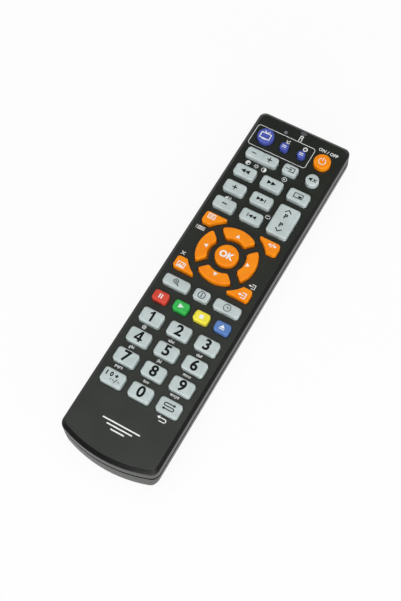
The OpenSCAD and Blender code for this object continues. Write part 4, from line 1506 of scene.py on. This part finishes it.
@dataclass
class Contacts:
    """Sheet contacts with their coil springs at the ends of the cells."""

    plate_t: float = 0.3
    plate_w: float = 8.4
    base_r: float = 3.6
    tip_r: float = 2.3
    wire_r: float = 0.35
    turns: int = 4
    rise: float = 5.35
    steps: int = 30
    wire_sides: int = 10
    edge_share: float = 0.3

    def plate(self, work: Workpiece, low: Vector, high: Vector) -> None:
        """Adds a sheet with softened edges.

        Args:
            work: The workpiece.
            low: Its lowest corner.
            high: Its highest corner.
        """
        made = bmesh.ops.create_cube(work.bm, size=1.0)["verts"]
        bmesh.ops.scale(work.bm, vec=high - low, verts=made)
        work.shift(made, *((low + high) / 2))
        edges = {edge for vert in made for edge in vert.link_edges}
        work.round_edges(edges, self.plate_t * self.edge_share, steps=2)

    def spring(self, work: Workpiece, x: float, y: float, z: float, way: int) -> None:
        """Winds a tapering coil that stands on a plate.

        Args:
            work: The workpiece.
            x: Place of its axis along X.
            y: Plate's face.
            z: Height of its axis.
            way: 1 if it reaches to the head end, -1 to the tail.
        """
        known = set(work.bm.verts)
        section = bmesh.ops.create_circle(work.bm, radius=self.wire_r, segments=self.wire_sides)["verts"]
        work.turn(section, 90.0, "X")
        work.shift(section, self.base_r, 0.0, 2 * self.wire_r)
        edges = list({edge for vert in section for edge in vert.link_edges})
        total = self.turns * self.steps
        bmesh.ops.spin(work.bm, geom=[*section, *edges], axis=(0, 0, 1), cent=(0, 0, 0), steps=total,
                       angle=math.tau * self.turns, dvec=(0.0, 0.0, self.rise / total))
        made = work.fresh(known)
        ends = [edge for vert in made for edge in vert.link_edges if len(edge.link_faces) == 1]
        bmesh.ops.holes_fill(work.bm, edges=list(set(ends)), sides=self.wire_sides)
        for vert in made:
            share = (vert.co.z - 2 * self.wire_r) / self.rise
            flat = Vector((vert.co.x, vert.co.y, 0.0)).normalized()
            vert.co -= flat * (self.base_r - self.tip_r) * share
        work.turn(made, -90.0 * way, "X")
        work.shift(made, x, y, z)

    def build(self) -> None:
        """Makes the three contacts."""
        for node in ("negative_spring", "bridge_contact", "positive_plate"):
            low, high = node_box(node)
            at_head = node != "bridge_contact"
            work = Workpiece()
            centre_z = (low.z + high.z) / 2
            plate_y = high.y - self.plate_t if at_head else low.y
            plate_low = Vector((low.x, plate_y, centre_z - self.plate_w / 2))
            plate_high = Vector((high.x, plate_low.y + self.plate_t, centre_z + self.plate_w / 2))
            self.plate(work, plate_low, plate_high)
            if node == "negative_spring":
                self.spring(work, (low.x + high.x) / 2, plate_low.y, centre_z, -1)
            elif node == "bridge_contact":
                self.spring(work, high.x - self.plate_w / 2, plate_high.y, centre_z, 1)
            work.stand_for(node, "metal_", CASE_BODY, (STEEL,))


class Inside:
    """Inner parts whose CAD solids stay and are only dressed."""

    FINISHES = {
        "keypad_mat": MAT_RUBBER, "circuit_board": BOARD, "infrared_emitter": EMITTER,
        "infrared_receiver": CHIP, "indicator_lamp": LAMP, "controller_chip": CHIP,
        "board_components": PARTS, "board_screws": SCREW,
    }

    def build(self) -> None:
        """Gives each inner node its finish."""
        for node, finish in self.FINISHES.items():
            piece = frame["nodes"][node]
            piece.data.materials.clear()
            piece.data.materials.append(finish.material())
            LOG.info("%s: dressed as %s", node, finish.name)


@dataclass(frozen=True)
class Lamp:
    """Square soft lamp that faces the object.

    Attributes:
        name: Name of the lamp.
        spot: Its place in metres.
        size: Length of its sides in metres.
        power: Its power in watts.
    """

    name: str
    spot: tuple[float, float, float]
    size: float
    power: float

    def hang(self) -> None:
        """Adds the lamp to the scene."""
        light = bpy.data.lights.new(self.name, "AREA")
        light.size = self.size
        light.energy = self.power
        lamp = place(self.name, light)
        lamp.location = self.spot
        lamp.rotation_euler = (-Vector(self.spot)).to_track_quat("-Z", "Y").to_euler()


@dataclass
class Studio:
    """Pale floor, soft light and the camera."""

    camera_spot: tuple[float, float, float] = (107.0, -171.8, 431.57)
    camera_turn: tuple[float, float, float] = (25.197, 1.608, 29.766)
    lens: float = 69.046
    sensor: float = 36.0
    nearest: float = 0.01
    farthest: float = 20.0
    floor_half: float = 3000.0
    floor_white: Colour = (0.94, 0.94, 0.94)
    floor_cloud: float = 3.0
    floor_rough: float = 0.9
    shadow_share: float = 0.1
    world_level: float = 0.2
    wall_top: float = 0.3
    ceiling_low: float = 0.55
    ceiling_level: float = 0.12
    lamps: tuple[Lamp, ...] = (
        Lamp("overhead", (0.0, -0.1, 1.3), 1.1, 8.6),
        Lamp("side", (1.1, -0.5, 1.0), 0.9, 2.6),
        Lamp("front", (0.6, -1.15, 0.45), 1.2, 17.0),
    )

    def camera(self) -> None:
        """Sets the camera at the photograph's viewing angle."""
        lens = bpy.data.cameras.new("camera")
        lens.lens = self.lens
        lens.sensor_width = self.sensor
        lens.clip_start = self.nearest
        lens.clip_end = self.farthest
        camera = place("camera", lens)
        camera.location = Vector(self.camera_spot) * MM
        camera.rotation_euler = [math.radians(angle) for angle in self.camera_turn]
        bpy.context.scene.camera = camera

    @staticmethod
    def seen_rays(tree: bpy.types.NodeTree) -> Socket:
        """Marks the rays that show the background: straight, mirrored or through glass.

        Args:
            tree: Node tree to add to.

        Returns:
            1 on such a ray, 0 on others.
        """
        path = tree.nodes.new("ShaderNodeLightPath")
        total = path.outputs["Is Camera Ray"]
        for name in ("Is Glossy Ray", "Is Transmission Ray"):
            either = tree.nodes.new("ShaderNodeMath")
            either.operation = "MAXIMUM"
            tree.links.new(total, either.inputs[0])
            tree.links.new(path.outputs[name], either.inputs[1])
            total = either.outputs[0]
        return total

    def floor(self) -> None:
        """Lays a white floor that keeps a faint shadow."""
        bm = bmesh.new()
        bmesh.ops.create_grid(bm, x_segments=1, y_segments=1, size=self.floor_half * MM)
        mesh = bpy.data.meshes.new("floor")
        bm.to_mesh(mesh)
        bm.free()
        shader = Shader("floor_white")
        tone = shader.blend(shader.noise(self.floor_cloud), self.floor_white, self.floor_white)
        shader.feed(shader.surface.inputs["Base Color"], tone)
        shader.surface.inputs["Roughness"].default_value = self.floor_rough
        shader.surface.inputs["Specular IOR Level"].default_value = 0.0
        glow = shader.add("ShaderNodeEmission", {"Strength": 1.0})
        mix = shader.add("ShaderNodeMixShader", {})
        seen = shader.add("ShaderNodeMath", {0: self.seen_rays(shader.tree), 1: 1.0 - self.shadow_share},
                          operation="MULTIPLY")
        shader.feed(mix.inputs[0], seen.outputs[0])
        shader.feed(mix.inputs[1], shader.surface.outputs[0])
        shader.feed(mix.inputs[2], glow.outputs[0])
        output = shader.tree.nodes["Material Output"]
        shader.feed(output.inputs["Surface"], mix.outputs[0])
        mesh.materials.append(shader.material)
        floor = place("floor", mesh)
        floor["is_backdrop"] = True

    def world(self) -> None:
        """Makes the room's soft light, with white walls and a dim ceiling where they are seen."""
        world = bpy.data.worlds.new("room")
        world.use_nodes = True
        tree = world.node_tree
        back = tree.nodes["Background"]
        back.inputs["Color"].default_value = (1.0, 1.0, 1.0, 1.0)
        way = tree.nodes.new("ShaderNodeTexCoord").outputs["Generated"]
        height = tree.nodes.new("ShaderNodeSeparateXYZ")
        tree.links.new(way, height.inputs[0])
        wall = tree.nodes.new("ShaderNodeMapRange")
        values = {"From Min": self.wall_top, "From Max": self.ceiling_low, "To Min": 1.0,
                  "To Max": self.ceiling_level}
        for name, value in values.items():
            wall.inputs[name].default_value = value
        tree.links.new(height.outputs["Z"], wall.inputs["Value"])
        level = tree.nodes.new("ShaderNodeMapRange")
        level.inputs["To Min"].default_value = self.world_level
        tree.links.new(wall.outputs[0], level.inputs["To Max"])
        tree.links.new(self.seen_rays(tree), level.inputs["Value"])
        tree.links.new(level.outputs[0], back.inputs["Strength"])
        bpy.context.scene.world = world

    def build(self) -> None:
        """Sets the whole studio."""
        self.camera()
        self.floor()
        self.world()
        for lamp in self.lamps:
            lamp.hang()
        bpy.context.scene.view_settings.view_transform = "Standard"


def write_sizes() -> None:
    """Works out the CAD box and the visual model's box."""
    boxes = {"cad": CAD_BOX, "visual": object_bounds()}
    {name: [list(corner) for corner in box] for name, box in boxes.items()}


def main() -> None:
    """Builds the studio and every sub-assembly in order."""
    logging.basicConfig(level=logging.INFO, format="%(message)s")
    for assembly in (Studio(), Case(), Keypad(), FacePrint(), Cells(), Contacts(), Inside()):
        assembly.build()
    write_sizes()


if __name__ == "__main__":
    main()
